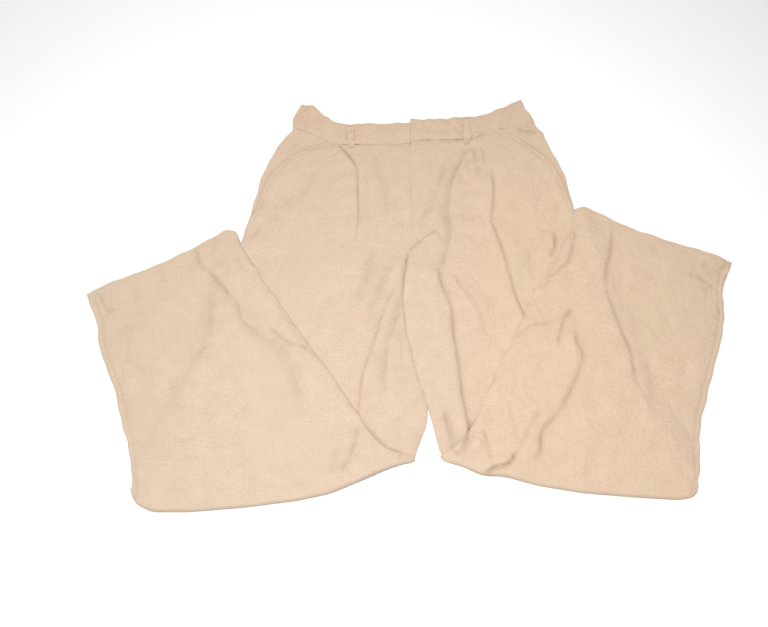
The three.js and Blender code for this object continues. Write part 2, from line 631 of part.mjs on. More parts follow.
/** A strap sewn down above the waistband and below the waist seam, and standing off a little between. */
function beltLoop(leg) {
  const { topX, topY, endX, endY } = leg.loop;
  const bandTop = BAND_CLOTH * 2 + BAND_GAP;
  const ends = [-1, 0, 1].map((side) => frontTop(leg, endX + (side * LOOP_WIDTH) / 2, endY));
  const endTop = Math.max(bandTop, ...ends);
  const place = (across, along) => {
    const under = lerp(bandTop, endTop, smoothstep(0.4, 0.75, along));
    const z = under + SEAM_GAP + LOOP_CLOTH / 2 + LOOP_ARCH * Math.sin(Math.PI * along);
    return new THREE.Vector3(lerp(topX, endX, along) + across, lerp(topY, endY, along), z);
  };
  const across = steps(-LOOP_WIDTH / 2, LOOP_WIDTH / 2, 2);
  return wall(`belt_loop_front_${leg.side}`, place, across, steps(0, 1, 10), () => LOOP_CLOTH, LINEN);
}

const part = new THREE.Group();
part.name = "wide_leg_pants";
for (const leg of [RIGHT, LEFT]) {
  part.add(panel(leg, false), panel(leg, true), facing(leg), frontBand(leg), beltLoop(leg));
}
part.add(backBand());

export default part;
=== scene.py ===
"""Wide-leg linen trousers, laid out front side up, with both legs folded up at the knee.

The scene dresses the fixed frame: each panel, facing, waistband and belt loop is a thin shell of cloth on
the form of its solid, with its creases laid in, its stitching, and one woven linen finish.
"""

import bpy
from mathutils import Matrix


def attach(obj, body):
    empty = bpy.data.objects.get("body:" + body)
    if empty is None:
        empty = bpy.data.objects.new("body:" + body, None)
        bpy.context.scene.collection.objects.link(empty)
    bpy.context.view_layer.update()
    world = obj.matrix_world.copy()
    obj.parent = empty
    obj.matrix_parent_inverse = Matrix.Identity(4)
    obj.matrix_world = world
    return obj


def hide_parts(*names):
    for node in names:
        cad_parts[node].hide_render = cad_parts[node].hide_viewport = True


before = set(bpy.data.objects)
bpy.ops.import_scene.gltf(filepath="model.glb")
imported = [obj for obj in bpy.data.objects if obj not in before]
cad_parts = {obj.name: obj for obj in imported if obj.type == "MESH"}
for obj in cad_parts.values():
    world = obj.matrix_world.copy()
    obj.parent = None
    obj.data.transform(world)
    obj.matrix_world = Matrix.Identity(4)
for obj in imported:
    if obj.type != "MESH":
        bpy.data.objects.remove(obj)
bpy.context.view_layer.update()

import logging
import math
from dataclasses import dataclass, field
from enum import Enum

import bpy
import numpy as np
from mathutils import Matrix, Vector

Array = np.ndarray
Point = tuple[float, float]
Path = tuple[Point, ...]
Wave = tuple[float, float, float, float, float]
Colour = tuple[float, float, float, float]
LOG = logging.getLogger("trousers")

MM = 0.001

# ---- Sizes, in millimetres, as they are in the solids ----
CLOTH = 1.2  # height that one layer takes up in a pile, its air included
TUBE_GAP = 1.0  # between the front and the back of a leg
REST_GAP = 0.5  # between the upper leg and the folded-up one
SEAM_GAP = 0.3
EDGE_ROUND = 1.5
FOLD_CENTRE_Z = 4.5
BAND_CLOTH = 2.0  # height that the doubled waistband takes up
BAND_GAP = 0.6
BAND_SIDE_GAP = 1.5
BACK_BAND_DROP = 3.0
CENTRE = 1.5  # X of the line that the two fronts meet on
BACK_CENTRE_Y = 262.0  # where the back's waist seam crosses it
STEP_START = 2.0  # the lower leg steps down from the upper one's edge over a little way
STEP_DOWN = 30.0
MOUTH_LIFT = 1.4  # the front stands up along the pocket mouth
MOUTH_REACH = 28.0
MOUTH_END = 6  # the row of the front on which the mouth ends
SHARED_ROWS = 4  # the row of the upper leg from which front and back are alike
HEM_SHARE = 0.88  # the hem takes up this share of the last section
FACING_UNDER = 8.0
LOOP_WIDTH = 10.0
CROWN = 1.6  # how far a loose layer bulges
CROWN_REACH = 30.0

# ---- Sizes of the dressed cloth alone, in millimetres ----
THREAD_CLOTH = 0.7  # the linen itself
BAND_THICK = 1.5
LOOP_THICK = 1.1
LOOP_ARCH = 0.8
THREAD_SINK = 0.04  # a stitch lies this far above the cloth, measured to its middle
EDGE_SOFT = 1.4  # the cloth's own softness next to a seam
EDGE_SOFT_REACH = 7.0
EDGE_SINK = 2.0  # a folded-up leg's loose edge sinks onto the cloth under it
EDGE_SINK_REACH = 4.0
EDGE_EASE = 1.3  # midway it sinks that much more gently
LOWEST = -1.25  # how far the loose layer may dip before it meets the layer under it
LOWEST_SOFT = 0.35
GROOVE_DEPTH = 1.0  # how deep a groove goes for each step of its strength
HOLLOW_SHADE = 0.078  # painted shade: how much of the deep shade colour shows for each millimetre of hollow
LEGS_LAP = 2.8  # how far the left leg's inseam lies over the right one's, just below the crotch
INSEAM_SHIFT = 3.2  # how far the right inseam leans to the left leg above the knee
# painted shade in the gap along the right inseam, where the left leg laps over it
INSEAM_HOLLOW = 2.6
CENTRE_UNDER = 6.0  # how far the right front runs in under the left one
HEM_OUT = 3.0  # the cloth's hem eases out a little beyond the pattern
HEM_RIPPLE = 1.0
HEM_ROW = 43.2  # from one section to the next, near the hem
HEM_RISE = 0.16  # the turned-up layer, pressed flat
HEM_EDGE = 3.4  # the hem's pressed edge lies this far in
OUTSEAM_LINE = 8.0  # the outseam shows this far from the folded-up leg's edge
MOUTH_STITCHES = (2.2, 6.5)  # from the edge of the pocket mouth
BAND_STITCH = 3.2  # from the waistband's edges
BAND_INSET = 0.6
PANEL_COLUMNS = 136  # faces between the rounded edges of a panel
MIDDLE_COLUMN = 60  # the column of a panel's grid that its length is measured on
FOLD_ROWS = 12  # faces round the knee fold
BAND_STEP = 2.4  # width of the waistband's faces
WANDER = 1.1  # how far a sewn edge wanders from its drawn line
LUMPS = 64  # the crumple repeats after this many lumps
NEAR = 2.2  # a height is read from the points that lie within this
NEAR_EXTRA = 0.3
NEAR_SOFT = 0.15

# Uneven waves: height, length, sway, length of the sway, and start.
OUTSEAM_WAVES = ((0.5, 9.7, 1.3, 31, 0), (0.5, 5.3, 2.1, 47, 0))
INSEAM_WAVES = ((0.6, 12.7, 1.1, 23, 2), (0.4, 6.1, 1.7, 39, 0))
HEM_WAVES = ((0.6, 8.7, 1.9, 29, 0), (0.4, 4.6, 2.3, 41, 0))
BAND_WAVES = ((0.7, 7.3, 1.7, 26, 0), (0.4, 3.9, 0, 1, 0))

UPPER_TOP = CLOTH * 2 + TUBE_GAP
LOWER_BASE = UPPER_TOP + REST_GAP  # what the folded-up leg rests on
FOLD_BASE = FOLD_CENTRE_Z * 2 - UPPER_TOP  # the same at the knee fold


class Side(Enum):
    """Which of the wearer's sides a piece is on; the value is the sign of 'inwards' along X."""

    RIGHT = 1
    LEFT = -1

    @property
    def word(self) -> str:
        """The side's name as it is used in piece names."""
        return self.name.lower()


class Layer(Enum):
    """Which panel of a leg a sheet is."""

    FRONT = "front"
    BACK = "back"


class Roll(Enum):
    """On which side of a crease's line its roll of cloth stands, looking the way the line runs."""

    LEFT = 1
    RIGHT = -1


@dataclass(frozen=True)
class Crease:
    """A crease along a bent line in plan: a groove, with or without a roll of cloth beside it.

    Attributes:
        path: points of the groove, in millimetres.
        roll: the side that the roll stands on.
        rise: height of the roll.
        gentle: half-width of the roll's far side.
        steep: half-width of its near side, which drops into the groove.
        groove: depth of the groove.
        width: half-width of the groove.
        start: share of the length over which the crease opens.
        end: share over which it dies away.
    """

    path: Path
    roll: Roll = Roll.LEFT
    rise: float = 0.0
    gentle: float = 20.0
    steep: float = 3.0
    groove: float = 1.0
    width: float = 2.5
    start: float = 0.15
    end: float = 0.25

    def shape(self, x: Array, y: Array) -> tuple[Array, Array]:
        """Shape that the crease gives at places in plan.

        Args:
            x: X of the places, in millimetres.
            y: Y of the places.

        Returns:
            The heights to add, and how deep in the groove each place lies, in millimetres.
        """
        signed, along = beside(x, y, rounded_path(self.path))
        ends = smoothstep(0, max(self.start, 1e-3), along) * smoothstep(0, max(self.end, 1e-3), 1 - along)
        uneven = 1 + 0.18 * np.sin(along * 17 + self.path[0][0]) + 0.1 * np.sin(along * 41 + self.path[0][1])
        over = signed * self.roll.value - 1.2 * self.steep
        ridge = bell(over, 0, np.where(over > 0, self.gentle, self.steep))
        core = bell(signed, 0, self.width)
        flank = bell(signed, 0, 2.6 * self.width)
        # the groove's depth, which the finish also turns into painted shade
        hollow = ends * uneven * self.groove * (0.75 * core + 0.25 * flank)
        return ends * uneven * self.rise * ridge - GROOVE_DEPTH * hollow, hollow


def groove(depth: float, width: float, *path: Point, start: float = 0.15, end: float = 0.25) -> Crease:
    """Make a crease that is a groove alone, with no roll beside it."""
    return Crease(path, groove=depth, width=width, start=start, end=end)


def smoothstep(low: float, high: float, x: Array | float) -> Array:
    """Ease from 0 at low to 1 at high."""
    s = np.clip((np.asarray(x, float) - low) / (high - low), 0, 1)
    return s * s * (3 - 2 * s)


def window(rise: Point, fall: Point, x: Array) -> Array:
    """Ease from 0 up to 1 between the ends of the rise, and down to 0 again between those of the fall."""
    return smoothstep(*rise, x) * (1 - smoothstep(*fall, x))


def bell(x: Array, middle: float, reach: Array | float) -> Array:
    """Make a soft bump: 1 at its middle, and next to nothing at twice its reach."""
    return np.exp(-(((x - middle) / reach) ** 2))


def waves(x: Array, table: tuple[Wave, ...]) -> Array:
    """Add up the uneven waves of a table along a line."""
    return sum(a * np.sin(x / long + sway * np.sin(x / slow) + start) for a, long, sway, slow, start in table)


def beside(x: Array, y: Array, path: Array) -> tuple[Array, Array]:
    """Measure points against a line in plan.

    Args:
        x: X of the points.
        y: Y of the points.
        path: the line's points, one row each.

    Returns:
        The signed distance of each point, positive on the left of the way the line runs, and how far along
        the line its nearest place is, from 0 to 1.
    """
    lengths = np.hypot(*np.diff(path, axis=0).T)
    reached = np.concatenate([[0.0], np.cumsum(lengths)])
    best = np.full(np.shape(x), np.inf)
    signed = np.zeros(np.shape(x))
    along = np.zeros(np.shape(x))
    for i, length in enumerate(lengths):
        (px, py), (dx, dy) = path[i], path[i + 1] - path[i]
        s = np.clip(((x - px) * dx + (y - py) * dy) / (length * length), 0, 1)
        distance = np.hypot(x - px - s * dx, y - py - s * dy)
        nearer = distance < best - 1e-9
        best = np.where(nearer, distance, best)
        turn = np.sign(dx * (y - py) - dy * (x - px)) * distance
        signed = np.where(nearer, turn, signed)
        along = np.where(nearer, (reached[i] + s * length) / reached[-1], along)
    return signed, along


def rounded_path(path: Path, pieces: int = 5) -> Array:
    """Run a smooth line through the points of a path.

    Args:
        path: the points.
        pieces: straight pieces between two of them.

    Returns:
        The points of the smooth line.
    """
    table = np.array(path, float)
    return catmull(table, np.linspace(0, len(path) - 1, (len(path) - 1) * pieces + 1))


def catmull(table: Array, at: Array) -> Array:
    """Read the rows of a table at places between them, on a smooth curve.

    Args:
        table: one row for each section.
        at: places, where 0 is the first row.

    Returns:
        One row for each place.
    """
    last = len(table) - 1
    i = np.clip(np.floor(at).astype(int), 0, last - 1)
    s = (np.asarray(at, float) - i)[:, None]
    a, b, c, d = (table[np.clip(i + k, 0, last)] for k in (-1, 0, 1, 2))
    return b + 0.5 * s * (c - a + s * (2 * a - 5 * b + 4 * c - d + s * (3 * (b - c) + d - a)))


def edge_y(edge: Path, x: Array, soft: float = 5.0) -> Array:
    """Read an edge's y at each x.

    Args:
        edge: its points.
        x: the places.
        soft: over how many millimetres its corners are softened.

    Returns:
        The y of each place.
    """
    xs, ys = np.array(edge, float).T
    taps = [np.interp(x + soft * k, xs, ys) for k in (-1.0, -0.5, 0.0, 0.5, 1.0)]
    near = np.minimum(np.abs(x - xs[0]), np.abs(x - xs[-1]))
    return np.where(near < soft, np.interp(x, xs, ys), sum(taps) / 5)


def rest(height: Array) -> Array:
    """Keep the loose layer from dipping through the one under it, with a soft stop."""
    return LOWEST + LOWEST_SOFT * np.log1p(np.exp(np.clip((height - LOWEST) / LOWEST_SOFT, -30, 30)))


@dataclass(frozen=True)
class Nudge:
    """A small shift of the whole pile of cloth round one place, in millimetres.

    Attributes:
        x: X of the place.
        y: Y of the place.
        reach: how far round it the cloth goes along.
        shift: how far the cloth moves along X, Y and up.
    """

    x: float
    y: float
    reach: float
    shift: tuple[float, float, float]

    def move(self, points: Array) -> None:
        """Move the points of a piece in place."""
        distance = (points[..., 0] - self.x) ** 2 + (points[..., 1] - self.y) ** 2
        points += np.exp(-distance / self.reach**2)[..., None] * np.array(self.shift)


NUDGES = (
    Nudge(-62, -304, 46, (0, 0, 7.6)),  # right knee fold's inner corner stands up
    Nudge(96, -298, 42, (0, 0, 5.4)),  # and the left one's
    Nudge(-4, -284, 20, (3, -4, 0)),  # the folds' corners lie a little to the left and the right
    Nudge(36, -276, 22, (-5, -6, 0)),
    Nudge(227, 287, 18, (6.5, 0, 0)),  # the side seams below the waistband
    Nudge(-205, 313, 17, (-3.5, 0, 0)),
    Nudge(207, 334, 13, (-5, 0, 0)),
    Nudge(-62, 303, 34, (0, 3.6, 0)),  # the waistband's top edge
    Nudge(-20, 306, 16, (0, 1.2, 0)),
    Nudge(60, 312, 12, (0, -1.5, 0)),
    Nudge(88, -302, 23, (0, -7, 0)),  # the left knee fold bellies out
)


def settle(points: Array) -> Array:
    """Let a piece lie a little less evenly than its pattern.

    Args:
        points: its points, which are moved in place.

    Returns:
        The same points.
    """
    for nudge in NUDGES:
        nudge.move(points)
    return points


@dataclass
class Relief:
    """Heights that creases and fine crumpling give to the cloth, over places in plan.

    Attributes:
        creases: the creases laid in.
        seed: starts the noise, so that each run gives the same cloth.
    """

    creases: tuple[Crease, ...]
    seed: int

    def __post_init__(self) -> None:
        """Draw the five grids of lumps."""
        self.grids = np.random.default_rng(self.seed).uniform(-1, 1, (5, LUMPS, LUMPS))

    def noise(self, x: Array, y: Array, size: float, layer: int, turn: float) -> Array:
        """Make smooth noise.

        Args:
            x: X of the places, in millimetres.
            y: Y of the places.
            size: about how wide a lump is.
            layer: which grid of lumps is used.
            turn: how far the grid is turned, in degrees.

        Returns:
            The noise, from about -1 to 1.
        """
        c, s = math.cos(math.radians(turn)), math.sin(math.radians(turn))
        across, along = (x * c + y * s) / size + 20.3, (y * c - x * s) / size + 17.7
        i, j = np.floor(across).astype(int), np.floor(along).astype(int)
        a, b = smoothstep(0, 1, across - i), smoothstep(0, 1, along - j)
        lumps = [self.grids[layer][(i + p) % LUMPS, (j + q) % LUMPS] for q in (0, 1) for p in (0, 1)]
        low = lumps[0] * (1 - a) + lumps[1] * a
        high = lumps[2] * (1 - a) + lumps[3] * a
        return low * (1 - b) + high * b

    def crumple(self, x: Array, y: Array) -> tuple[Array, Array]:
        """Fine crumpling of washed linen, in millimetres.

        Args:
            x: X of the places.
            y: Y of the places.

        Returns:
            The heights of soft lumps, drag along the leg and a loose net of sharp little lines; and how
            deep in one of those lines each place lies.
        """
        bent_x = x + 5 * self.noise(x, y, 41, 2, 15)
        bent_y = y + 5 * self.noise(x, y, 37, 1, 55)
        soft = 0.75 * self.noise(x, y, 62, 0, 12) + 0.5 * self.noise(x, y, 27, 1, 40)
        fine = 0.2 * self.noise(x, y, 11, 2, 70)
        drag = 0.45 * self.noise(bent_x, bent_y * 0.28, 17, 3, 8)
        mask = smoothstep(-0.25, 0.65, self.noise(x, y, 75, 4, 33))
        lines = 1.1 * mask * (1 - np.abs(self.noise(bent_x, bent_y, 31, 3, 25))) ** 9
        short = 0.8 * (1 - mask) * (1 - np.abs(self.noise(bent_x * 1.5, bent_y * 0.8, 21, 4, -30))) ** 9
        drawn = 0.7 * (1 - np.abs(self.noise(bent_x * 1.9, bent_y * 0.55, 26, 2, 6))) ** 12
        net = lines + short + drawn * (1 - 0.5 * mask)
        # the depth of the fine lines also sets their painted shade
        return 1.45 * (soft + fine + drag) - 0.9 * net, 0.42 * net

    def shape(self, x: Array, y: Array) -> tuple[Array, Array]:
        """Add all the creases to the crumple.

        Args:
            x: X of the places, in millimetres.
            y: Y of the places.

        Returns:
            The heights, and how deep in a groove each place lies.
        """
        height, hollow = self.crumple(x, y)
        for crease in self.creases:
            more, deeper = crease.shape(x, y)
            height, hollow = height + more, hollow + deeper
        return height, hollow


@dataclass(frozen=True)
class Leg:
    """One leg of the pattern as it lies: its sections, its bent edges and its creases, in millimetres.

    Each section row is (out x, out y, in x, in y), from the outseam to the centre seam and the inseam.

    Attributes:
        side: the wearer's side.
        upper: sections from the waist seam to the knee.
        lower: sections of the folded-up part, from the knee to the hem.
        mouth: sections of the front from the pocket mouth to the centre.
        fold: the line of the knee fold.
        hem: the line of the hem.
        waist: the waist seam.
        band: at places on the waist seam (x, lean, height) of the waistband's top edge.
        loop: the belt loop's ends (top x, top y, end x, end y).
        loop_shade: spots of painted shade on the belt loop (share of its length, place across it, depth).
        slit: how deep the hollow is where the folded-up leg leaves the hip, painted there as shade.
        band_creases: creases of the waistband.
        facing_creases: creases of the pocket facing.
        upper_creases: creases of the front.
        lower_creases: creases of the folded-up back.
        seed: starts the crumple.
    """

    side: Side
    upper: tuple[tuple[float, float, float, float], ...]
    lower: tuple[tuple[float, float, float, float], ...]
    mouth: tuple[tuple[float, float, float, float], ...]
    fold: Path
    hem: Path
    waist: Path
    band: tuple[tuple[float, float, float], ...]
    loop: tuple[float, float, float, float]
    loop_shade: tuple[tuple[float, float, float], ...]
    slit: float
    band_creases: tuple[Crease, ...]
    facing_creases: tuple[Crease, ...]
    upper_creases: tuple[Crease, ...]
    lower_creases: tuple[Crease, ...]
    seed: int

    @property
    def mouth_rows(self) -> Array:
        """Sections of the front: the pocket mouth's rows, then the rows shared with the back."""
        return np.array(self.mouth + self.upper[SHARED_ROWS:], float)

    @property
    def back_waist(self) -> Path:
        """The back's waist seam, which crosses the centre at a height of its own."""
        return tuple((x, BACK_CENTRE_Y if abs(x - CENTRE) < 1 else y) for x, y in self.waist)

    @property
    def upper_edge(self) -> Array:
        """The outseam of the upper leg in plan."""
        return np.array(self.upper, float)[:, :2]

    @property
    def lower_edge(self) -> Array:
        """The inseam of the folded-up lower leg in plan, from the knee to the hem."""
        return np.array(self.lower, float)[:, 2:]

    @property
    def mouth_edge(self) -> Array:
        """The edge of the pocket mouth in plan."""
        return np.array(self.mouth, float)[: MOUTH_END + 1, :2]


# In the tables of creases, a groove gives its depth and half-width and then its path. A crease with a roll
# gives its path, the roll's side and rise, its gentle and its steep half-width, the depth and half-width of
# its groove, and the shares of its length over which it opens and dies away.
RIGHT_LEG = Leg(
    side=Side.RIGHT,
    upper=(
        (-201, 291.7, 1.35, 259),
        (-229, 246, 1.35, 190),
        (-249.5, 185, 1.35, 130),
        (-259, 130, 1.35, 76),
        (-271, 68, -6, 25),
        (-284, 0, -12, -30),
        (-296, -60, -10, -75),
        (-304, -120, -1, -125),
        (-320, -180, 8, -170),
        (-344, -240, 15, -206),
        (-369, -290, 12, -246),
        (-386, -322, -4, -279),
    ),
    lower=(
        (-386, -322, -4, -279),
        (-391, -298, -40, -272),
        (-403, -263, -67, -243),
        (-415, -235, -92, -203),
        (-424, -209, -129, -148),
        (-438, -175, -165, -101),
        (-455, -143, -198, -51),
        (-470, -109, -231, -7),
        (-480, -73, -259, 38),
        (-502, -34, -283, 79),
    ),
    mouth=(
        (-138, 256, 1.35, 259),
        (-172, 248, 1.35, 238),
        (-207, 225, 1.35, 210),
        (-231, 196, 1.35, 180),
        (-244, 160, 1.35, 148),
        (-251.5, 124, 1.35, 112),
        (-259.5, 108, 1.35, 92),
        (-265.3, 98, 1.35, 76),
    ),
    fold=(
        (-386, -322),
        (-377, -342),
        (-354, -352),
        (-305, -352),
        (-230, -346),
        (-160, -337),
        (-118, -328),
        (-71, -309),
        (-44, -297),
        (-4, -279),
    ),
    hem=((-502, -34), (-471, -13), (-405, 15), (-350, 47), (-318, 68), (-297, 85), (-283, 79)),
    waist=((-201, 291.7), (-172, 281), (-149, 267), (-124, 257), (-92, 256), (-46, 258.5), (1.35, 259)),
    band=(
        (-201, 12, 51),
        (-172, 6, 58),
        (-149, 0, 53),
        (-124, -6, 46),
        (-92, -8, 41),
        (-46, 0, 38.5),
        (1.35, 0, 44),
    ),
    loop=(-103, 296, -99, 248),
    loop_shade=((0.3, 0.5, 5.5), (0.42, -1, 2), (0.66, 3, 4), (0.8, -2.5, 2.5)),
    slit=6.0,
    band_creases=(
        groove(0.6, 2.6, (-75, 293), (-44, 290), (-13, 292)),
        groove(0.8, 3, (-190, 313), (-179, 299), (-175, 286)),
        groove(0.6, 2.6, (-160, 296), (-150, 284), (-148, 272)),
        groove(1.1, 1.9, (-110, 293), (-107, 276), (-105, 262)),
        groove(1.1, 1.9, (-97, 292), (-94, 276), (-93, 262)),
        groove(0.6, 2.4, (-88, 274), (-66, 270), (-40, 272)),
    ),
    facing_creases=(
        groove(1.4, 3, (-200, 262), (-196, 250), (-198, 240)),
        groove(1.0, 3, (-212, 252), (-204, 262), (-190, 268)),
    ),
    upper_creases=(
        Crease(
            (
                (-113, 246), (-98, 225), (-90, 208), (-87, 190), (-86, 150), (-84, 120), (-85, 100),
                (-88, 70), (-92, 40),
            ),
            Roll.RIGHT, 2.6, 26, 3, 1.9, 1.9, 0.02, 0.4,
        ),
        Crease(
            ((-118, 252), (-107, 236), (-98, 222), (-91, 206)),
            Roll.RIGHT, 1.8, 12, 3, 2.0, 3.2, 0.02, 0.4,
        ),
        Crease(
            ((-62, 238), (-54, 212), (-47, 186), (-43, 158), (-41, 120), (-40, 84)),
            Roll.LEFT, 0.8, 22, 9, 1.3, 8, 0.1, 0.4,
        ),
        groove(0.8, 2.4, (-41, 172), (-40, 150), (-41, 118)),
        groove(1.3, 3.2, (-202, 246), (-186, 252), (-165, 256), (-146, 259)),
        groove(0.8, 2.4, (-160, 182), (-170, 168), (-176, 150)),
        groove(1.2, 5, (-30, 22), (-44, -10), (-62, -48), (-74, -74)),
        groove(0.8, 6, (-56, 60), (-66, 22), (-78, -12)),
        groove(0.9, 2.4, (-196, 30), (-204, 16), (-214, -2)),
        groove(0.8, 2.2, (-232, 148), (-224, 132), (-212, 118)),
        groove(0.7, 2.6, (-218, 156), (-206, 140), (-190, 130), (-176, 132)),
        groove(0.6, 2.2, (-150, 150), (-136, 142), (-124, 128)),
        groove(0.6, 2.4, (-150, 92), (-136, 76), (-128, 58)),
        groove(0.7, 2.4, (-248, 70), (-238, 58), (-232, 42)),
        groove(0.7, 4, (-76, 136), (-70, 104), (-74, 70)),
        groove(0.6, 3, (-24, 150), (-22, 116), (-26, 84)),
        groove(0.7, 4, (-226, 120), (-216, 100), (-212, 84)),
        groove(0.9, 6, (-163, 208), (-167, 175), (-182, 148), (-203, 132), (-225, 132)),
        Crease(((-200, 200), (-185, 110), (-160, 0), (-150, -70)), Roll.LEFT, 1.8, 48, 45, 0.0, 5, 0.3, 0.3),
        groove(0.9, 3, (-240, 100), (-247, 86), (-256, 66)),
        groove(1.0, 2.2, (-243, 156), (-246, 138), (-249, 118)),
        groove(0.7, 3, (-208, 42), (-214, 30), (-226, 12)),
        groove(0.7, 6, (-60, 24), (-72, -20), (-96, -62)),
        groove(0.7, 4, (-12, 118), (-16, 90), (-12, 62)),
        Crease(((-130, 232), (-128, 180), (-120, 120), (-118, 60)), Roll.LEFT, 0.9, 16, 12, 0.3, 6, 0.2, 0.4),
        Crease(
            ((-16, -28), (-20, -50), (-30, -80), (-40, -110), (-44, -140), (-45, -170), (-43, -205)),
            Roll.LEFT, 3.0, 15, 4.5, 2.1, 4.6, 0.04, 0.22,
        ),
        Crease(
            (
                (-24, -10), (-32, -27), (-40, -45), (-48, -65), (-56, -95), (-66, -127), (-75, -155),
                (-79, -182), (-81, -207), (-81, -232),
            ),
            Roll.LEFT, 2.5, 12, 3.4, 1.9, 2.7, 0.16, 0.03,
        ),
        groove(0.7, 3, (-20, -90), (-17, -130), (-14, -170)),
        groove(
            1.3, 5, (-55, 63), (-63, 36), (-69, 9), (-78, -19), (-93, -43), (-113, -67), start=0.2, end=0.4,
        ),
        groove(1.0, 4, (-22, 48), (-31, 27), (-44, -2), (-58, -35)),
        groove(3.0, 2.6, (-2, 48), (-8, 28), (-12, 0), (-14, -42), start=0.1, end=0.15),
        groove(
            1.5, 2.6, (-139, 253), (-170, 247), (-196, 238), (-215, 224), (-232, 202), (-243, 176),
            start=0.02, end=0.3,
        ),
        groove(0.9, 3, (-245, 96), (-251, 80), (-258, 62)),
    ),
    lower_creases=(
        Crease(
            (
                (-344, 53), (-336, 27), (-321, 9), (-302, -11), (-284, -32), (-269, -51), (-263, -66),
                (-259, -79), (-241, -95), (-221, -111), (-199, -128),
            ),
            Roll.LEFT, 3.3, 18, 5, 1.9, 4.4, 0.02, 0.35,
        ),
        Crease(
            ((-222, -90), (-206, -98), (-194, -110), (-176, -116), (-156, -121)),
            Roll.LEFT, 1.6, 12, 3.4, 2.2, 2.5, 0.15, 0.03,
        ),
        Crease(
            (
                (-250, -84), (-226, -100), (-206, -117), (-191, -134), (-180, -152), (-175, -174),
                (-168, -200), (-158, -236),
            ),
            Roll.LEFT, 2.4, 22, 9, 1.7, 7.5, 0.12, 0.4,
        ),
        groove(0.9, 2.1, (-174, -134), (-167, -156), (-162, -182)),
        Crease(
            (
                (-318, -4), (-308, -44), (-307, -84), (-310, -112), (-318, -136), (-328, -158), (-337, -190),
                (-344, -226), (-348, -260), (-348, -300),
            ),
            Roll.LEFT, 2.5, 66, 28, 0.1, 9, 0.06, 0.3,
        ),
        Crease(
            ((-318, -20), (-309, -50), (-307, -84), (-311, -114), (-320, -142), (-330, -166)),
            Roll.LEFT, 1.5, 30, 9, 1.2, 8, 0.15, 0.4,
        ),
        groove(1.6, 3.2, (-394, 16), (-388, 0), (-385, -14)),
        groove(1.0, 5, (-428, -136), (-410, -146), (-392, -158)),
        Crease(
            ((-488, -26), (-478, -38), (-470, -52), (-462, -58), (-444, -55)),
            Roll.LEFT, 1.2, 8, 3, 2.1, 2.5, 0.02, 0.2,
        ),
        groove(1.1, 3, (-462, -58), (-467, -70), (-463, -84)),
        groove(1.9, 2.8, (-314, 72), (-313, 52), (-317, 36), start=0.05),
        groove(0.9, 3, (-283, 46), (-266, 15), (-252, 2), (-234, -8)),
        Crease(
            ((-82, -236), (-84, -258), (-92, -280), (-104, -306)),
            Roll.LEFT, 1.6, 8, 3.5, 2.1, 4.4, 0.2, 0.1,
        ),
        groove(1.3, 5, (-106, -262), (-112, -284), (-118, -312)),
        Crease(
            ((-94, -204), (-70, -244), (-44, -272), (-22, -284)),
            Roll.LEFT, 4.4, 14, 15, 0.0, 5, 0.5, 0.02,
        ),
        Crease(((-350, -100), (-300, -200), (-280, -300)), Roll.LEFT, 1.4, 55, 55, 0.0, 5),
        groove(0.3, 11, (-334, -160), (-345, -220), (-350, -262), (-350, -305), start=0.2, end=0.15),
        groove(0.8, 5, (-258, -74), (-262, -62), (-270, -46), start=0.3, end=0.3),
        groove(0.6, 4, (-450, -90), (-425, -84), (-400, -92)),
        groove(0.6, 7, (-430, -20), (-418, -50), (-422, -80)),
    ),
    seed=11,
)

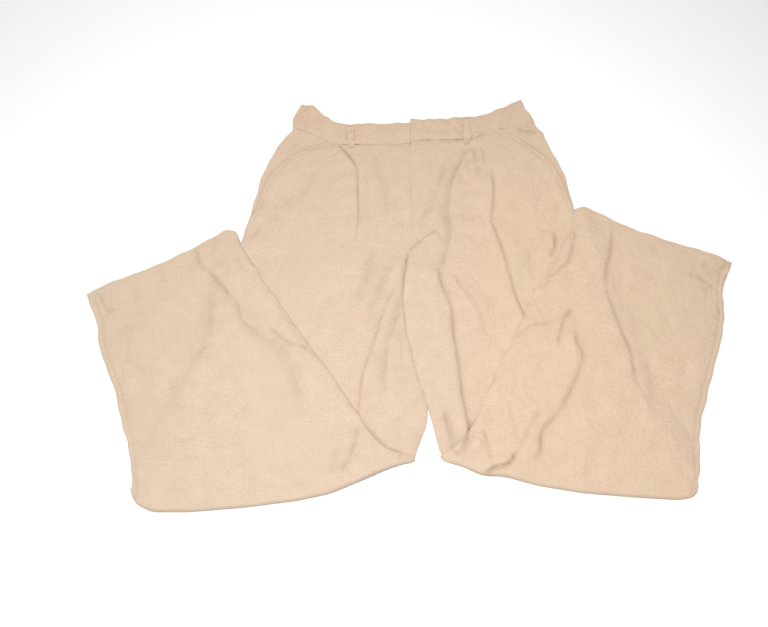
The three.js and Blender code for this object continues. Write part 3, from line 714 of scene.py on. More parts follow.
LEFT_LEG = Leg(
    side=Side.LEFT,
    upper=(
        (216, 299.2, 1.65, 265),
        (242, 245, 1.65, 190),
        (260, 185, 1.65, 130),
        (266, 128, 1.65, 76),
        (278, 62, -5.7, 25),
        (291, 0, -11.7, -30),
        (300, -55, -9.7, -75),
        (311, -110, -0.7, -125),
        (322, -165, 8.3, -170),
        (337, -222, 17.2, -206),
        (360, -278, 28, -246),
        (382, -318, 40, -272),
    ),
    lower=(
        (382, -318, 40, -272),
        (390, -298, 62, -262),
        (397, -266, 84, -231),
        (407, -227, 106, -184),
        (422, -193, 128, -138),
        (436.5, -158, 154, -92),
        (457.5, -111, 180, -40),
        (471, -72, 211, 8),
        (480, -20, 248, 70),
        (503, 22, 266, 121),
    ),
    mouth=(
        (153, 287, 1.65, 265),
        (182, 272, 1.65, 242),
        (210, 248, 1.65, 214),
        (236, 221, 1.65, 184),
        (250, 186, 1.65, 151),
        (258, 145, 1.65, 116),
        (264.5, 122, 1.65, 94),
        (270, 108, 1.65, 76),
    ),
    fold=(
        (40, -272),
        (47, -281),
        (58, -287),
        (80, -293),
        (118, -304),
        (165, -317),
        (225, -327),
        (300, -333),
        (352, -336),
        (374, -333),
        (382, -318),
    ),
    hem=((266, 121), (281, 127), (306, 114), (348, 88), (428, 54), (487, 34), (503, 22)),
    waist=((1.65, 265), (40, 266), (88, 267), (112, 271), (143, 286), (175, 293), (216, 299.2)),
    band=(
        (1.65, 0, 45),
        (40, 0, 44),
        (88, 0, 49),
        (112, 0, 43),
        (143, 0, 39),
        (175, -3, 47),
        (216, -18, 55),
    ),
    loop=(98, 313, 98, 255),
    loop_shade=((0.86, 1.5, 6), (0.8, -2.5, 2), (0.35, -3.5, 2)),
    slit=1.5,
    band_creases=(
        groove(1.3, 2.4, (76, 295), (84, 285), (91, 273)),
        groove(1.2, 2.6, (105, 273), (118, 281), (133, 288)),
        groove(0.7, 2.6, (20, 284), (47, 287), (73, 285)),
        groove(1.0, 1.9, (91, 306), (92, 290), (92, 274)),
        groove(1.0, 1.9, (105, 304), (104, 290), (104, 276)),
        groove(0.7, 3, (138, 318), (148, 306), (152, 294)),
    ),
    facing_creases=(
        groove(4.0, 4, (186, 291), (200, 286), (216, 283), start=0.1, end=0.1),
        groove(1.0, 3, (196, 276), (206, 268), (214, 262)),
    ),
    upper_creases=(
        Crease(
            (
                (98, 252), (91, 238), (83, 220), (74, 201), (66, 180), (61, 155), (57, 120), (60, 90),
                (57, 65), (50, 40), (44, 10),
            ),
            Roll.LEFT, 2.8, 20, 5, 2.7, 4.6, 0.06, 0.1,
        ),
        Crease(
            (
                (45, 22), (44, 4), (46, -10), (53, -30), (60, -55), (61, -90), (64, -115), (67, -150),
                (70, -190), (75, -225), (77, -245), (72, -264),
            ),
            Roll.RIGHT, 3.9, 22, 4.6, 2.0, 4.2, 0.06, 0.02,
        ),
        groove(1.4, 3.2, (68, 212), (60, 203), (52, 190), (42, 176)),
        Crease(
            (
                (131, 222), (137, 200), (138.5, 178), (137, 140), (131, 104), (136, 82), (143, 56), (149, 26),
                (154, -6), (160, -38), (168, -62), (174, -80),
            ),
            Roll.RIGHT, 3.1, 20, 4.4, 1.6, 3.7, 0.17, 0.03,
        ),
        Crease(((110, 250), (113, 226), (115, 200), (116, 172)), Roll.LEFT, 0.8, 12, 4, 2.1, 3.6, 0.02, 0.5),
        groove(1.3, 3.4, (126, 246), (125, 226), (127, 208), start=0.05),
        groove(1.2, 2.2, (98, 224), (97, 210), (98, 196)),
        groove(1.4, 4, (68, 236), (70, 222), (66, 212)),
        groove(0.8, 2.2, (60, 12), (70, -6), (78, -26)),
        groove(0.7, 2.4, (160, 140), (168, 126), (178, 118)),
        groove(0.9, 2.2, (38, 166), (30, 148), (22, 128)),
        groove(1.0, 2.6, (117, 108), (116, 80), (118, 60), (124, 44)),
        Crease(((46, 152), (36, 131), (20, 109), (6, 95)), Roll.RIGHT, 0.7, 8, 2.6, 1.1, 3),
        Crease(((54, 101), (38, 97), (22, 93), (7, 84)), Roll.RIGHT, 0.6, 7, 2.4, 0.9, 2.5),
        groove(0.7, 2.2, (38, 130), (26, 116), (14, 107)),
        Crease(
            ((44, 86), (38, 84), (25, 76), (8, 60), (-2, 46), (-7, 25), (-10, 4)),
            Roll.LEFT, 2.4, 18, 4.2, 1.9, 3.4, 0.1, 0.1,
        ),
        Crease(
            ((41, -205), (42, -220), (48, -240), (55, -262), (61, -278)),
            Roll.RIGHT, 1.5, 9, 3, 1.6, 3, 0.3, 0.05,
        ),
        Crease(
            ((62, 18), (76, -16), (91, -37), (102, -61), (106, -84), (112, -106)),
            Roll.LEFT, 1.1, 10, 3, 1.9, 2.7, 0.2, 0.2,
        ),
        groove(1.4, 3, (62, 219), (53, 190), (42, 158), (28, 130), (14, 103)),
        groove(
            1.6, 2.8, (187, 266), (221, 246), (242, 222), (253, 198), (259, 166), (263, 134), start=0.15,
            end=0.1,
        ),
        groove(2.8, 3, (224, 57), (222, 44), (220, 31), start=0.4, end=0.4),
        Crease(((232, 84), (230, 68), (228, 52), (224, 36)), Roll.RIGHT, 2.2, 7, 3.2, 3.6, 3.2, 0.3, 0.4),
        groove(1.0, 3.2, (200, 90), (215, 84), (231, 80)),
        Crease(((76, -226), (79, -244), (74, -258), (63, -273)), Roll.RIGHT, 2.0, 8, 4, 5.2, 4.2, 0.3, 0.05),
        groove(1.9, 3.4, (42, -208), (46, -234), (50, -252), (55, -272), start=0.2, end=0.05),
        groove(0.9, 2.1, (82, -158), (94, -171), (107, -179)),
        groove(0.8, 3.2, (186, 52), (186, 12), (191, -16)),
        groove(1.1, 3, (194, -16), (188, -45), (178, -74)),
        Crease(((180, 225), (205, 150), (200, 70)), Roll.LEFT, 1.6, 34, 34, 0.0, 5, 0.3, 0.3),
        Crease(((84, 60), (92, 20), (110, -30), (128, -80)), Roll.LEFT, 1.0, 22, 18, 0.4, 6, 0.3, 0.3),
        groove(0.5, 5, (150, 90), (176, 60), (196, 20)),
    ),
    lower_creases=(
        Crease(
            (
                (325, 104), (324, 88), (320, 62), (314, 38), (306, 17), (300, -6), (299, -29), (303, -52),
                (311, -91), (316, -110), (320, -128), (321, -160), (323, -180), (330, -192), (336, -207),
                (342, -222), (347, -242), (350, -264),
            ),
            Roll.RIGHT, 3.2, 36, 6.2, 1.35, 5.2, 0.03, 0.35,
        ),
        Crease(
            (
                (246, -88), (243, -109), (247, -123), (248, -137), (244, -150), (238, -164), (230, -180),
                (221, -196), (209, -214), (197, -230), (184, -241), (176, -257), (174, -274), (162, -288),
                (146, -300),
            ),
            Roll.RIGHT, 3.7, 26, 6.4, 1.55, 5.6, 0.08, 0.15,
        ),
        groove(2.0, 2.8, (181, -208), (171, -225), (160, -241), (149, -260), (138, -279), (131, -291)),
        Crease(
            ((92, -302), (100, -298), (109, -296), (120, -295), (131, -290), (138, -276)),
            Roll.LEFT, 2.6, 9, 3.4, 3.8, 2.8, 0.05, 0.15,
        ),
        Crease(((94, -240), (101, -262), (103, -292)), Roll.LEFT, 0.8, 8, 2.6, 1.8, 2.5),
        groove(1.4, 2.4, (133, -198), (137, -218), (140, -248), (137, -268)),
        Crease(
            ((146, -94), (159, -97), (173, -89), (190, -82), (210, -79), (228, -70), (243, -63), (253, -48)),
            Roll.LEFT, 1.6, 10, 3.4, 1.7, 3.0, 0.04, 0.45,
        ),
        Crease(
            ((245, -56), (233, -67), (223, -86), (211, -122)),
            Roll.RIGHT, 1.5, 8, 2.8, 2.5, 2.6, 0.15, 0.2,
        ),
        Crease(
            ((201, -5), (222, 5), (234, 15), (247, 26), (259, 34)),
            Roll.LEFT, 1.6, 9, 3, 2.7, 2.8, 0.03, 0.2,
        ),
        groove(2.1, 2.8, (263, 84), (257, 56), (249, 36), (240, 22)),
        groove(1.6, 2.6, (194, -24), (206, -14), (216, -2)),
        groove(1.6, 2.6, (262, 116), (256, 96), (250, 78), start=0.05),
        groove(0.8, 3, (276, 30), (268, 10), (264, -8)),
        groove(1.3, 4, (480, 34), (470, 24), (452, 20), start=0.05),
        Crease(((427, 6), (445, 1), (456, -9), (469, -21)), Roll.LEFT, 1.4, 12, 4, 2.2, 4.6, 0.15, 0.1),
        groove(1.1, 3, (464, 32), (456, 13)),
        groove(2.4, 3.6, (502, 24), (486, 18), (470, 6), start=0.03),
        groove(0.9, 3.4, (386, 60), (381, 38)),
        Crease(((88, -236), (72, -258), (60, -274)), Roll.LEFT, 3.2, 9, 10, 0.0, 5, 0.3, 0.05),
        groove(
            3.6, 2.3, (56, -279), (61, -274), (67, -268), (71.5, -259), (75, -250), (78, -240), start=0.1,
            end=0.5,
        ),
        groove(2.6, 1.8, (64, -270), (69, -262), (72, -254), start=0.2, end=0.3),
        Crease(((400, -20), (390, -150), (360, -260)), Roll.LEFT, 1.2, 50, 50, 0.0, 5),
        groove(0.7, 3, (168, -60), (190, -40), (214, -26)),
        groove(0.5, 4, (248, -96), (236, -70), (226, -50)),
    ),
    seed=29,
)

# The curved line of stitches beside the fly.
FLY_STITCH = ((36, 262), (35.5, 200), (35, 150), (32, 122), (25, 100), (14, 84), (3, 77))
# Sections of a facing: the row of the outseam and the row of the pocket mouth that each one joins.
FACING_ROWS = ((0, 0), (0.45, 0.9), (0.9, 1.8), (1.4, 2.7), (2, 3.7), (2.7, 4.6), (3.15, 5.3))


@dataclass(frozen=True)
class Cut:
    """Flat size of a piece, in metres and square metres."""

    width: float
    length: float
    area: float


@dataclass
class Surface:
    """A grid of points on the middle of a piece of cloth, with its flat pattern beside it.

    Attributes:
        points: rows by columns by 3, in millimetres.
        pattern: rows by columns by 2, the same points on the flat cloth, in millimetres.
        hollow: rows by columns, how deep in a crease or seam each point lies, in millimetres; the finish
            paints shade there by it.
    """

    points: Array
    pattern: Array
    hollow: Array

    def cut(self) -> Cut:
        """Measure the flat piece that the surface is sewn from.

        Returns:
            Its widest and its longest line along the cloth, and its area.
        """
        p = self.points
        widths = np.linalg.norm(np.diff(p, axis=1), axis=-1).sum(1)
        lengths = np.linalg.norm(np.diff(p, axis=0), axis=-1).sum(0)
        turn = np.cross(p[1:, 1:] - p[:-1, :-1], p[1:, :-1] - p[:-1, 1:])
        area = np.linalg.norm(turn, axis=-1).sum() / 2
        width, length = sorted((widths.max(), lengths.max()))
        return Cut(round(width * MM, 4), round(length * MM, 4), round(area * MM * MM, 5))

    def rows(self, first: int, last: int) -> "Surface":
        """Take the rows of the grid from the first up to the last, which is left out."""
        return Surface(self.points[first:last], self.pattern[first:last], self.hollow[first:last])

    def height_at(self, x: Array, y: Array) -> Array:
        """Read the height of the surface.

        Args:
            x: X of the places, in millimetres.
            y: Y of the places.

        Returns:
            The height at each place, from the points of the grid that lie nearest.
        """
        flat = self.points.reshape(-1, 3)
        found = np.empty(len(x))
        for k, (px, py) in enumerate(zip(x, y)):
            near = np.hypot(flat[:, 0] - px, flat[:, 1] - py)
            close = near < max(NEAR, near.min() + NEAR_EXTRA)
            found[k] = np.average(flat[close, 2], weights=1 / (NEAR_SOFT + near[close]) ** 2)
        return found

    def laid_on(self, line: Array, thick: float) -> Array:
        """Lay a line in plan on top of the cloth.

        Args:
            line: its points, x and y.
            thick: the cloth's thickness.

        Returns:
            The points with their heights.
        """
        height = self.height_at(line[:, 0], line[:, 1]) + thick / 2 + THREAD_SINK
        return np.column_stack([line, height])


def across_places(count: int) -> Array:
    """Places across a panel: four steps round each edge, and a number over the rest of its width."""
    edge = np.linspace(0, 1, 5)[:-1]
    return np.concatenate([edge, np.linspace(1, 2, count + 1), 3 - edge[::-1]])


@dataclass
class Plan:
    """A grid of places laid out in plan; each value is a grid, in millimetres.

    Attributes:
        x: X of the places.
        y: Y of the places.
        edge: distance to the nearer edge.
        rounding: the share of the height that the rounded edges leave.
        from_out: distance from the outer edge.
        from_in: distance from the inner edge.
        hollow: how deep in a crease or seam each place lies, which sets the painted shade there.
    """

    x: Array
    y: Array
    edge: Array
    rounding: Array
    from_out: Array
    from_in: Array
    hollow: Array


def plan_grid(
    table: Array,
    at: Array,
    across: Array,
    bends: list[tuple[int, Path, Array]],
    out: Array,
    into: Array,
    loose_in: Array | None = None,
) -> Plan:
    """Lay the places of a grid out in plan.

    Args:
        table: the sections.
        at: the places along the sections, one for each row of the grid.
        across: the places across them, one for each column.
        bends: for each bent edge its section row, its line and its share in each row of the grid.
        out: 1 for each row whose outer edge is rounded, otherwise 0.
        into: the same for the inner edge.
        loose_in: how freely the inner edge wanders in each row; not at all if it is left out.

    Returns:
        The grid in plan, with no hollow yet.
    """
    loose_in = np.zeros(len(at)) if loose_in is None else loose_in
    sections = catmull(table, at)
    width = np.hypot(sections[:, 2] - sections[:, 0], sections[:, 3] - sections[:, 1])[:, None]
    upright = np.sin(np.clip(np.minimum(across, 3 - across), 0, 1) * math.pi / 2)[None, :]
    turned = EDGE_ROUND * (1 - np.sqrt(np.clip(1 - upright**2, 0, 1)))
    inset_out, inset_in = out[:, None] * CLOTH / 2, into[:, None] * CLOTH / 2
    low, high = inset_out + EDGE_ROUND, width - inset_in - EDGE_ROUND
    middle = low + (high - low) * np.clip(across - 1, 0, 1)[None, :]
    place = np.where(across[None, :] < 1, inset_out + turned, middle)
    place = np.where(across[None, :] > 2, width - inset_in - turned, place)
    share = place / width
    x = sections[:, 0:1] + (sections[:, 2:3] - sections[:, 0:1]) * share
    y = sections[:, 1:2] + (sections[:, 3:4] - sections[:, 1:2]) * share
    near_out = bell(place, 0, 14) * out[:, None]
    run = np.concatenate([[0.0], np.cumsum(np.hypot(*np.diff(sections[:, :2], axis=0).T))])[:, None]
    across_way = (sections[:, 2:4] - sections[:, 0:2]) / width
    near_in = bell(width - place, 0, 12) * into[:, None] * loose_in[:, None]
    shift = WANDER * (waves(run, OUTSEAM_WAVES) * near_out + 1.5 * waves(run, INSEAM_WAVES) * near_in)
    x = x + shift * across_way[:, 0:1]
    y = y + shift * across_way[:, 1:2]
    for row, edge, weight in bends:
        ox, oy, ix, iy = table[row]
        y = y + weight[:, None] * (edge_y(edge, ox + (ix - ox) * share) - oy - (iy - oy) * share)
    left = np.where(across[None, :] < 1.5, out[:, None], into[:, None])
    edge = np.minimum(share, 1 - share) * width
    rounding = 1 - left * (1 - upright)
    return Plan(x, y, edge, rounding, place, width - place, np.zeros_like(x))


def layer_height(front: bool, cloth: Array | float, rounding: Array) -> Array:
    """Height of the middle of one layer of a leg that lies flat.

    Args:
        front: whether it is the upper layer.
        cloth: how much height a layer takes up.
        rounding: 0 at the seam and 1 where the layer has its full height.

    Returns:
        The height, in millimetres.
    """
    seam = cloth + TUBE_GAP / 2 + (SEAM_GAP / 2 if front else -SEAM_GAP / 2)
    full = cloth * 1.5 + TUBE_GAP if front else cloth / 2
    return seam + (full - seam) * rounding


def crown(edge: Array) -> Array:
    """How much the loose upper layer bulges between its seams, in millimetres."""
    return CROWN * (1 - np.exp(-edge / CROWN_REACH)) + EDGE_SOFT * (1 - np.exp(-edge / EDGE_SOFT_REACH))


@dataclass
class Panel:
    """A front or a back of one leg: one sheet from the waist seam round the knee fold to the hem.

    Attributes:
        leg: the pattern.
        layer: front or back.
    """

    leg: Leg
    layer: Layer

    def __post_init__(self) -> None:
        """Take the panel's sections from the pattern."""
        self.front = self.layer is Layer.FRONT
        self.name = f"{self.layer.value}_{self.leg.side.word}"
        self.table = self.leg.mouth_rows if self.front else np.array(self.leg.upper, float)
        self.knee = len(self.table) - 1
        self.lower = np.array(self.leg.lower, float)
        self.hem_line = len(self.lower) - 1 - HEM_SHARE
        self.upper_relief = Relief(self.leg.upper_creases, self.leg.seed)
        self.lower_relief = Relief(self.leg.lower_creases, self.leg.seed + 1)

    def open_share(self, signed: Array) -> Array:
        """How much of the upper leg's loose shape is left: less and less under the lower leg."""
        return smoothstep(-46, -4, -self.leg.side.value * signed)

    def upper_loose(self, x: Array, y: Array, edge: Array) -> tuple[Array, Array]:
        """Shape the loose cloth of the upper front.

        Args:
            x: X of the places, in millimetres.
            y: Y of the places.
            edge: distance to the nearer seam.

        Returns:
            The height that crown and creases add, and how deep in a crease each place lies.
        """
        height, hollow = self.upper_relief.shape(x, y)
        signed, along = beside(x, y, self.leg.lower_edge)
        # painted shade in the slit where the folded-up leg leaves the hip
        slit = self.leg.slit * bell(signed, 0, 2.6) * window((0.015, 0.05), (0.13, 0.26), along)
        open_share = self.open_share(signed)
        return (crown(edge) + height) * open_share, hollow * open_share + slit

    def upper_grid(self, along: Array, across: Array) -> tuple[Array, Plan]:
        """Points of the part from the waist seam to the knee.

        Args:
            along: places along the sections.
            across: places across them.

        Returns:
            The points and the plan grid that they stand on.
        """
        near_fold = np.clip((along - self.knee + 4) / 4, 0, 1) ** 2
        near_waist = 1 - smoothstep(0, 3 if self.front else 2, along)
        out = (along > MOUTH_END + 0.01).astype(float) if self.front else np.ones(len(along))
        at_inseam = (along > self.knee - 7.99).astype(float)
        into = smoothstep(self.knee - 8, self.knee - 6.6, along) if self.front else at_inseam
        waist = self.leg.waist if self.front else self.leg.back_waist
        bends = [(self.knee, self.leg.fold, near_fold), (0, waist, near_waist)]
        plan = plan_grid(self.table, along, across, bends, out, into)
        z = layer_height(self.front, CLOTH, plan.rounding)
        if self.front:
            fade = (1 - smoothstep(0.68, 1, near_fold))[:, None] * plan.rounding
            joined = (1 - smoothstep(self.knee - 8, self.knee - 6, along))[:, None]
            edge = np.minimum(plan.from_out, plan.from_in + 60 * joined)
            held = (0.12 + 0.88 * smoothstep(0, 0.62, along))[:, None]
            height, hollow = self.upper_loose(plan.x, plan.y, edge)
            z = z + rest(height) * fade * held
            from_mouth = np.abs(beside(plan.x, plan.y, self.leg.mouth_edge)[0])
            past = (1 - smoothstep(MOUTH_END, MOUTH_END + 1, along))[:, None]
            lift = MOUTH_LIFT * (1 - smoothstep(10, MOUTH_REACH, from_mouth))
            stitched = bell(from_mouth, MOUTH_STITCHES[1], 1.9) * past
            z = z + (lift + self.mouth_edge_shape(from_mouth)) * plan.rounding * past
            z = z + self.fly_lap(plan, along)
            # painted shade in the creases and along the pocket mouth's stitch line
            plan.hollow = hollow * fade + 0.9 * stitched * smoothstep(0.1, 0.9, along)[:, None]
        x, z = self.meet_other_leg(plan, along, z)
        return np.stack([x, plan.y, np.maximum(z, CLOTH / 2)], -1), plan

    def meet_other_leg(self, plan: Plan, along: Array, z: Array) -> tuple[Array, Array]:
        """Tuck, lean or lap the inner edge of the upper leg against the other leg.

        Args:
            plan: the plan grid; its hollow, which sets the painted shade, is deepened under a lap.
            along: places along the sections.
            z: the heights so far.

        Returns:
            The shifted x and the heights.
        """
        x, from_in = plan.x, plan.from_in
        before = along - self.knee
        if self.leg.side is Side.LEFT:
            over = bell(from_in, 0, 9) * window((-7.9, -7.1), (-3.3, -1.7), before)[:, None]
            return x - LEGS_LAP * over, z + (0.9 if self.front else 0.2) * over
        if self.front:
            under = np.exp(-from_in / 6) * (1 - smoothstep(6.6, 7.4, along))[:, None]
            x, z = x + CENTRE_UNDER * under, z - 0.9 * under
            beneath = window((-7.6, -6.6), (-2.6, -1.6), before)[:, None]
            # painted shade along the right inseam, under the left leg's lap
            plan.hollow += INSEAM_HOLLOW * bell(from_in, 2.5, 2.6) * beneath
        return x + INSEAM_SHIFT * bell(from_in, 0, 9) * window((-3.6, -2.4), (-1.6, -0.6), before)[:, None], z

    @staticmethod
    def mouth_edge_shape(distance: Array) -> Array:
        """Shape the turned and stitched edge of a pocket mouth: a little roll, then the stitches' line."""
        return 0.5 * bell(distance, 1.5, 2.6) - 0.45 * bell(distance, MOUTH_STITCHES[1], 1.7)

    def fly_lap(self, plan: Plan, along: Array) -> Array:
        """Shape the fly, where the left front laps over the right one.

        Args:
            plan: the plan grid.
            along: places along the sections.

        Returns:
            Heights to add: the lap, its edge, and the hollow of its curved stitch line.
        """
        if self.leg.side is Side.RIGHT:
            return np.zeros_like(plan.x)
        down = (1 - smoothstep(6.4, 7.2, along))[:, None]
        lap = 0.7 * (1 - smoothstep(1.65, 34, plan.x)) * down
        stitched, _ = beside(plan.x, plan.y, np.array(FLY_STITCH, float))
        return lap - 0.55 * bell(stitched, 0, 1.5)

    def base(self, x: Array, y: Array, near_fold: Array) -> Array:
        """Height of what the lower leg lies on.

        Args:
            x: X of the places, in millimetres.
            y: Y of the places.
            near_fold: 1 at the knee fold, and less and less above it.

        Returns:
            The height, in millimetres: the upper leg with its loose shape, or the floor beside it.
        """
        signed, _ = beside(x, y, self.leg.upper_edge)
        outside = -self.leg.side.value * signed
        full = LOWER_BASE + (FOLD_BASE - LOWER_BASE) * near_fold
        under = np.maximum(rest(self.upper_loose(x, y, np.full(np.shape(x), 60.0))[0]), 0)
        under = under * (1 - near_fold) * (1 - smoothstep(-30, 2, outside))
        return full * (1 - smoothstep(STEP_START, STEP_START + STEP_DOWN, outside)) + under

    def lower_grid(self, row: Array, across: Array) -> tuple[Array, Plan, Array]:
        """Points of the folded-up part from the knee to the hem.

        Args:
            row: places along the sections.
            across: places across them.

        Returns:
            The points, the plan grid, and the loose height that the outer layer adds.
        """
        near_fold = (1 - np.clip(row / 3, 0, 1)) ** 2
        hem_share = smoothstep(4.5, 8, row)
        both = np.ones(len(row))
        last = len(self.lower) - 1
        bends = [(0, self.leg.fold, near_fold), (last, self.leg.hem, hem_share)]
        plan = plan_grid(self.lower, row, across, bends, both, both, smoothstep(2, 4.5, row))
        x = plan.x
        end = smoothstep(last - 1, last, row)[:, None]
        plan.y = plan.y + HEM_OUT * end + HEM_RIPPLE * waves(x, HEM_WAVES) * end**3
        turned_up = HEM_RISE * smoothstep(self.hem_line, self.hem_line + 0.04, row)
        cloth = (CLOTH + turned_up)[:, None]
        z = self.base(x, plan.y, near_fold[:, None]) + layer_height(not self.front, cloth, plan.rounding)
        waver = 1 + 0.35 * np.sin(row * 5.1 + self.leg.seed) + 0.25 * np.sin(row * 11.7)
        reach = (EDGE_SINK_REACH * (1 + EDGE_EASE * window((4.0, 5.0), (7.0, 7.7), row)))[:, None]
        sink = EDGE_SINK * bell(plan.from_in, 0, reach) * (smoothstep(1.2, 3.0, row) * waver)[:, None]
        z = z - (np.minimum(sink, layer_height(False, CLOTH, plan.rounding) + 0.1) if self.front else sink)
        loose = np.zeros_like(z)
        if not self.front:
            height, hollow = self.lower_relief.shape(x, plan.y)
            loose = rest(crown(plan.edge) + height)
            loose = loose * plan.rounding * (1 - 0.55 * smoothstep(last - 1.2, last, row))[:, None]
            from_hem = ((last - row) * HEM_ROW)[:, None]
            pressed = bell(from_hem, HEM_EDGE, 1.6)
            loose = loose + self.seam_roll(plan.from_out) - 0.45 * pressed
            # painted shade in the creases, along the outseam's line and at the hem's pressed edge
            plan.hollow = hollow + 1.5 * bell(plan.from_out, OUTSEAM_LINE, 1.8) + 0.7 * pressed
        return np.stack([x, plan.y, z + loose], -1), plan, loose

    @staticmethod
    def seam_roll(distance: Array) -> Array:
        """Roll the outseam a little onto the back, so that its line shows beside the edge."""
        return -1.1 * bell(distance, OUTSEAM_LINE, 1.6) + 0.6 * bell(distance, OUTSEAM_LINE / 2, 3)

    def fold_grid(self, turns: Array, across: Array) -> Array:
        """Points round the knee fold.

        Args:
            turns: how far round each row lies, from 0 at the upper leg to 1 at the lower one.
            across: places across the sections.

        Returns:
            The points.
        """
        _, plan, loose = self.lower_grid(np.zeros(1), across)
        radius = FOLD_CENTRE_Z - layer_height(self.front, CLOTH, plan.rounding)
        x, fold = plan.x, self.leg.fold
        slope = (edge_y(fold, x + 12) - edge_y(fold, x - 12)) / 24
        length = np.hypot(slope, 1)
        angle = (turns * math.pi)[:, None]
        reach = radius * np.sin(angle)
        px = x + slope / length * reach
        py = plan.y - reach / length
        pz = FOLD_CENTRE_Z - radius * np.cos(angle) + loose * (1 - np.cos(angle)) / 2
        return np.stack([px, py, pz], -1)

    def surface(self) -> Surface:
        """Build the whole middle surface of the panel.

        Returns:
            The surface, finely divided where it shows and more widely where it is hidden.
        """
        across = across_places(PANEL_COLUMNS)
        knee, last = self.knee, len(self.lower) - 1
        if self.front:
            mouth_rows = [np.linspace(0, MOUTH_END, 68), [6.02, 6.25, 6.5, 6.75], [7, 7.02]]
            upper_rows = np.concatenate([*mouth_rows, np.linspace(7.1, knee, 186)])
            lower_rows = np.concatenate([np.linspace(0, self.hem_line, 28)[1:], [self.hem_line + 0.04, last]])
        else:
            upper_rows = np.concatenate([np.linspace(0, 3, 12), [3.02], np.linspace(3.2, knee, 30)])
            fine = np.linspace(0, self.hem_line, 222)[1:]
            lower_rows = np.concatenate([fine, np.linspace(self.hem_line + 0.03, last, 18)])
        upper, upper_plan = self.upper_grid(upper_rows, across)
        fold = self.fold_grid(np.linspace(0, 1, FOLD_ROWS + 1)[1:], across)
        lower, lower_plan, _ = self.lower_grid(lower_rows, across)
        points = settle(np.concatenate([upper, fold, lower]))
        # painted shade of the creases carried round the knee fold
        around_fold = lower_plan.hollow[:1] * np.linspace(0, 1, len(fold))[:, None]
        hollow = np.concatenate([upper_plan.hollow, around_fold, lower_plan.hollow])
        whole = Surface(points, self.pattern(points), hollow)
        first = 0 if self.front else len(points) - len(lower)
        self.shown = whole.rows(first, first + len(upper if self.front else lower))
        return whole

    @staticmethod
    def pattern(points: Array) -> Array:
        """Measure the flat pattern of a panel.

        Args:
            points: the panel's points.

        Returns:
            For each point its place across the cloth, from the middle, and down it, in millimetres.
        """
        down = np.linalg.norm(np.diff(points[:, MIDDLE_COLUMN], axis=0), axis=-1)
        down = np.concatenate([[0.0], np.cumsum(down)])
        widths = np.linalg.norm(np.diff(points, axis=1), axis=-1)
        over = np.concatenate([np.zeros((len(points), 1)), np.cumsum(widths, axis=1)], axis=1)
        return np.stack([over - over[:, -1:] / 2, np.repeat(down[:, None], over.shape[1], 1)], -1)

    def hem_stitches(self) -> Array:
        """Lay out the row of stitches that holds the hem.

        Returns:
            Its points, on the outer side of the back.
        """
        row = np.full(1, self.hem_line - 0.03)
        points, _, _ = self.lower_grid(row, np.linspace(1.0, 2.0, 110))
        return points[0] + [0, 0, THREAD_CLOTH / 2 + THREAD_SINK]

    def mouth_stitches(self) -> list[Array]:
        """Lay out the two rows of stitches beside the pocket mouth.

        Returns:
            The two lines, on the front.
        """
        line = rounded_path(tuple(map(tuple, self.leg.mouth_edge)), 9)[3:]
        ahead = np.gradient(line, axis=0)
        inward = np.stack([-ahead[:, 1], ahead[:, 0]], -1) * self.leg.side.value
        inward = inward / np.hypot(*ahead.T)[:, None]
        return [self.shown.laid_on(line + inward * gap, THREAD_CLOTH) for gap in MOUTH_STITCHES]


@dataclass
class Facing:
    """A pocket facing, seen between the outseam and the pocket mouth.

    Attributes:
        leg: the pattern.
    """

    leg: Leg

    @property
    def name(self) -> str:
        """The node that the facing stands for."""
        return f"pocket_facing_{self.leg.side.word}"

    def rows(self) -> Array:
        """Lay out the facing's sections.

        Returns:
            A row for each, from the outseam to a line that runs in under the edge of the mouth.
        """
        at = np.array(FACING_ROWS, float)
        mouth = catmull(self.leg.mouth_rows, at[:, 1])[:, :2]
        ahead = catmull(self.leg.mouth_rows, at[:, 1] + 0.1)[:, :2] - mouth
        out = catmull(np.array(self.leg.upper, float), at[:, 0])[:, :2]
        side = self.leg.side.value
        inward = np.stack([-ahead[:, 1], ahead[:, 0]], -1) * FACING_UNDER * side
        rows = np.hstack([out, mouth + inward / np.hypot(*ahead.T)[:, None]])
        rows[0, 2] = self.leg.mouth[0][0] + FACING_UNDER * side
        rows[0, 3] = edge_y(self.leg.waist, rows[0, 2], 0.01)
        return rows

    def surface(self) -> Surface:
        """Build the middle surface of the facing.

        Returns:
            The surface.
        """
        rows = self.rows()
        at = np.linspace(0, len(rows) - 1, 72)
        across = across_places(26)
        bends = [(0, self.leg.waist, 1 - smoothstep(0, 2, at))]
        plan = plan_grid(rows, at, across, bends, np.ones(len(at)), np.zeros(len(at)))
        height, hollow = Relief(self.leg.facing_creases, self.leg.seed + 5).shape(plan.x, plan.y)
        top = 0.7 * (1 - smoothstep(0, 0.8, at))[:, None]
        signed, _ = beside(plan.x, plan.y, self.leg.mouth_edge)
        # painted shade inside the pocket mouth, beside its edge
        mouth_shade = bell(signed, 0, 3.6) * smoothstep(0.2, 1.4, at)[:, None]
        z = layer_height(True, CLOTH, plan.rounding) + (top + 0.3 * np.maximum(height, -3)) * plan.rounding
        pattern = np.stack([plan.from_out, -plan.y], -1)
        return Surface(settle(np.stack([plan.x, plan.y, z], -1)), pattern, hollow + 4.2 * mouth_shade)


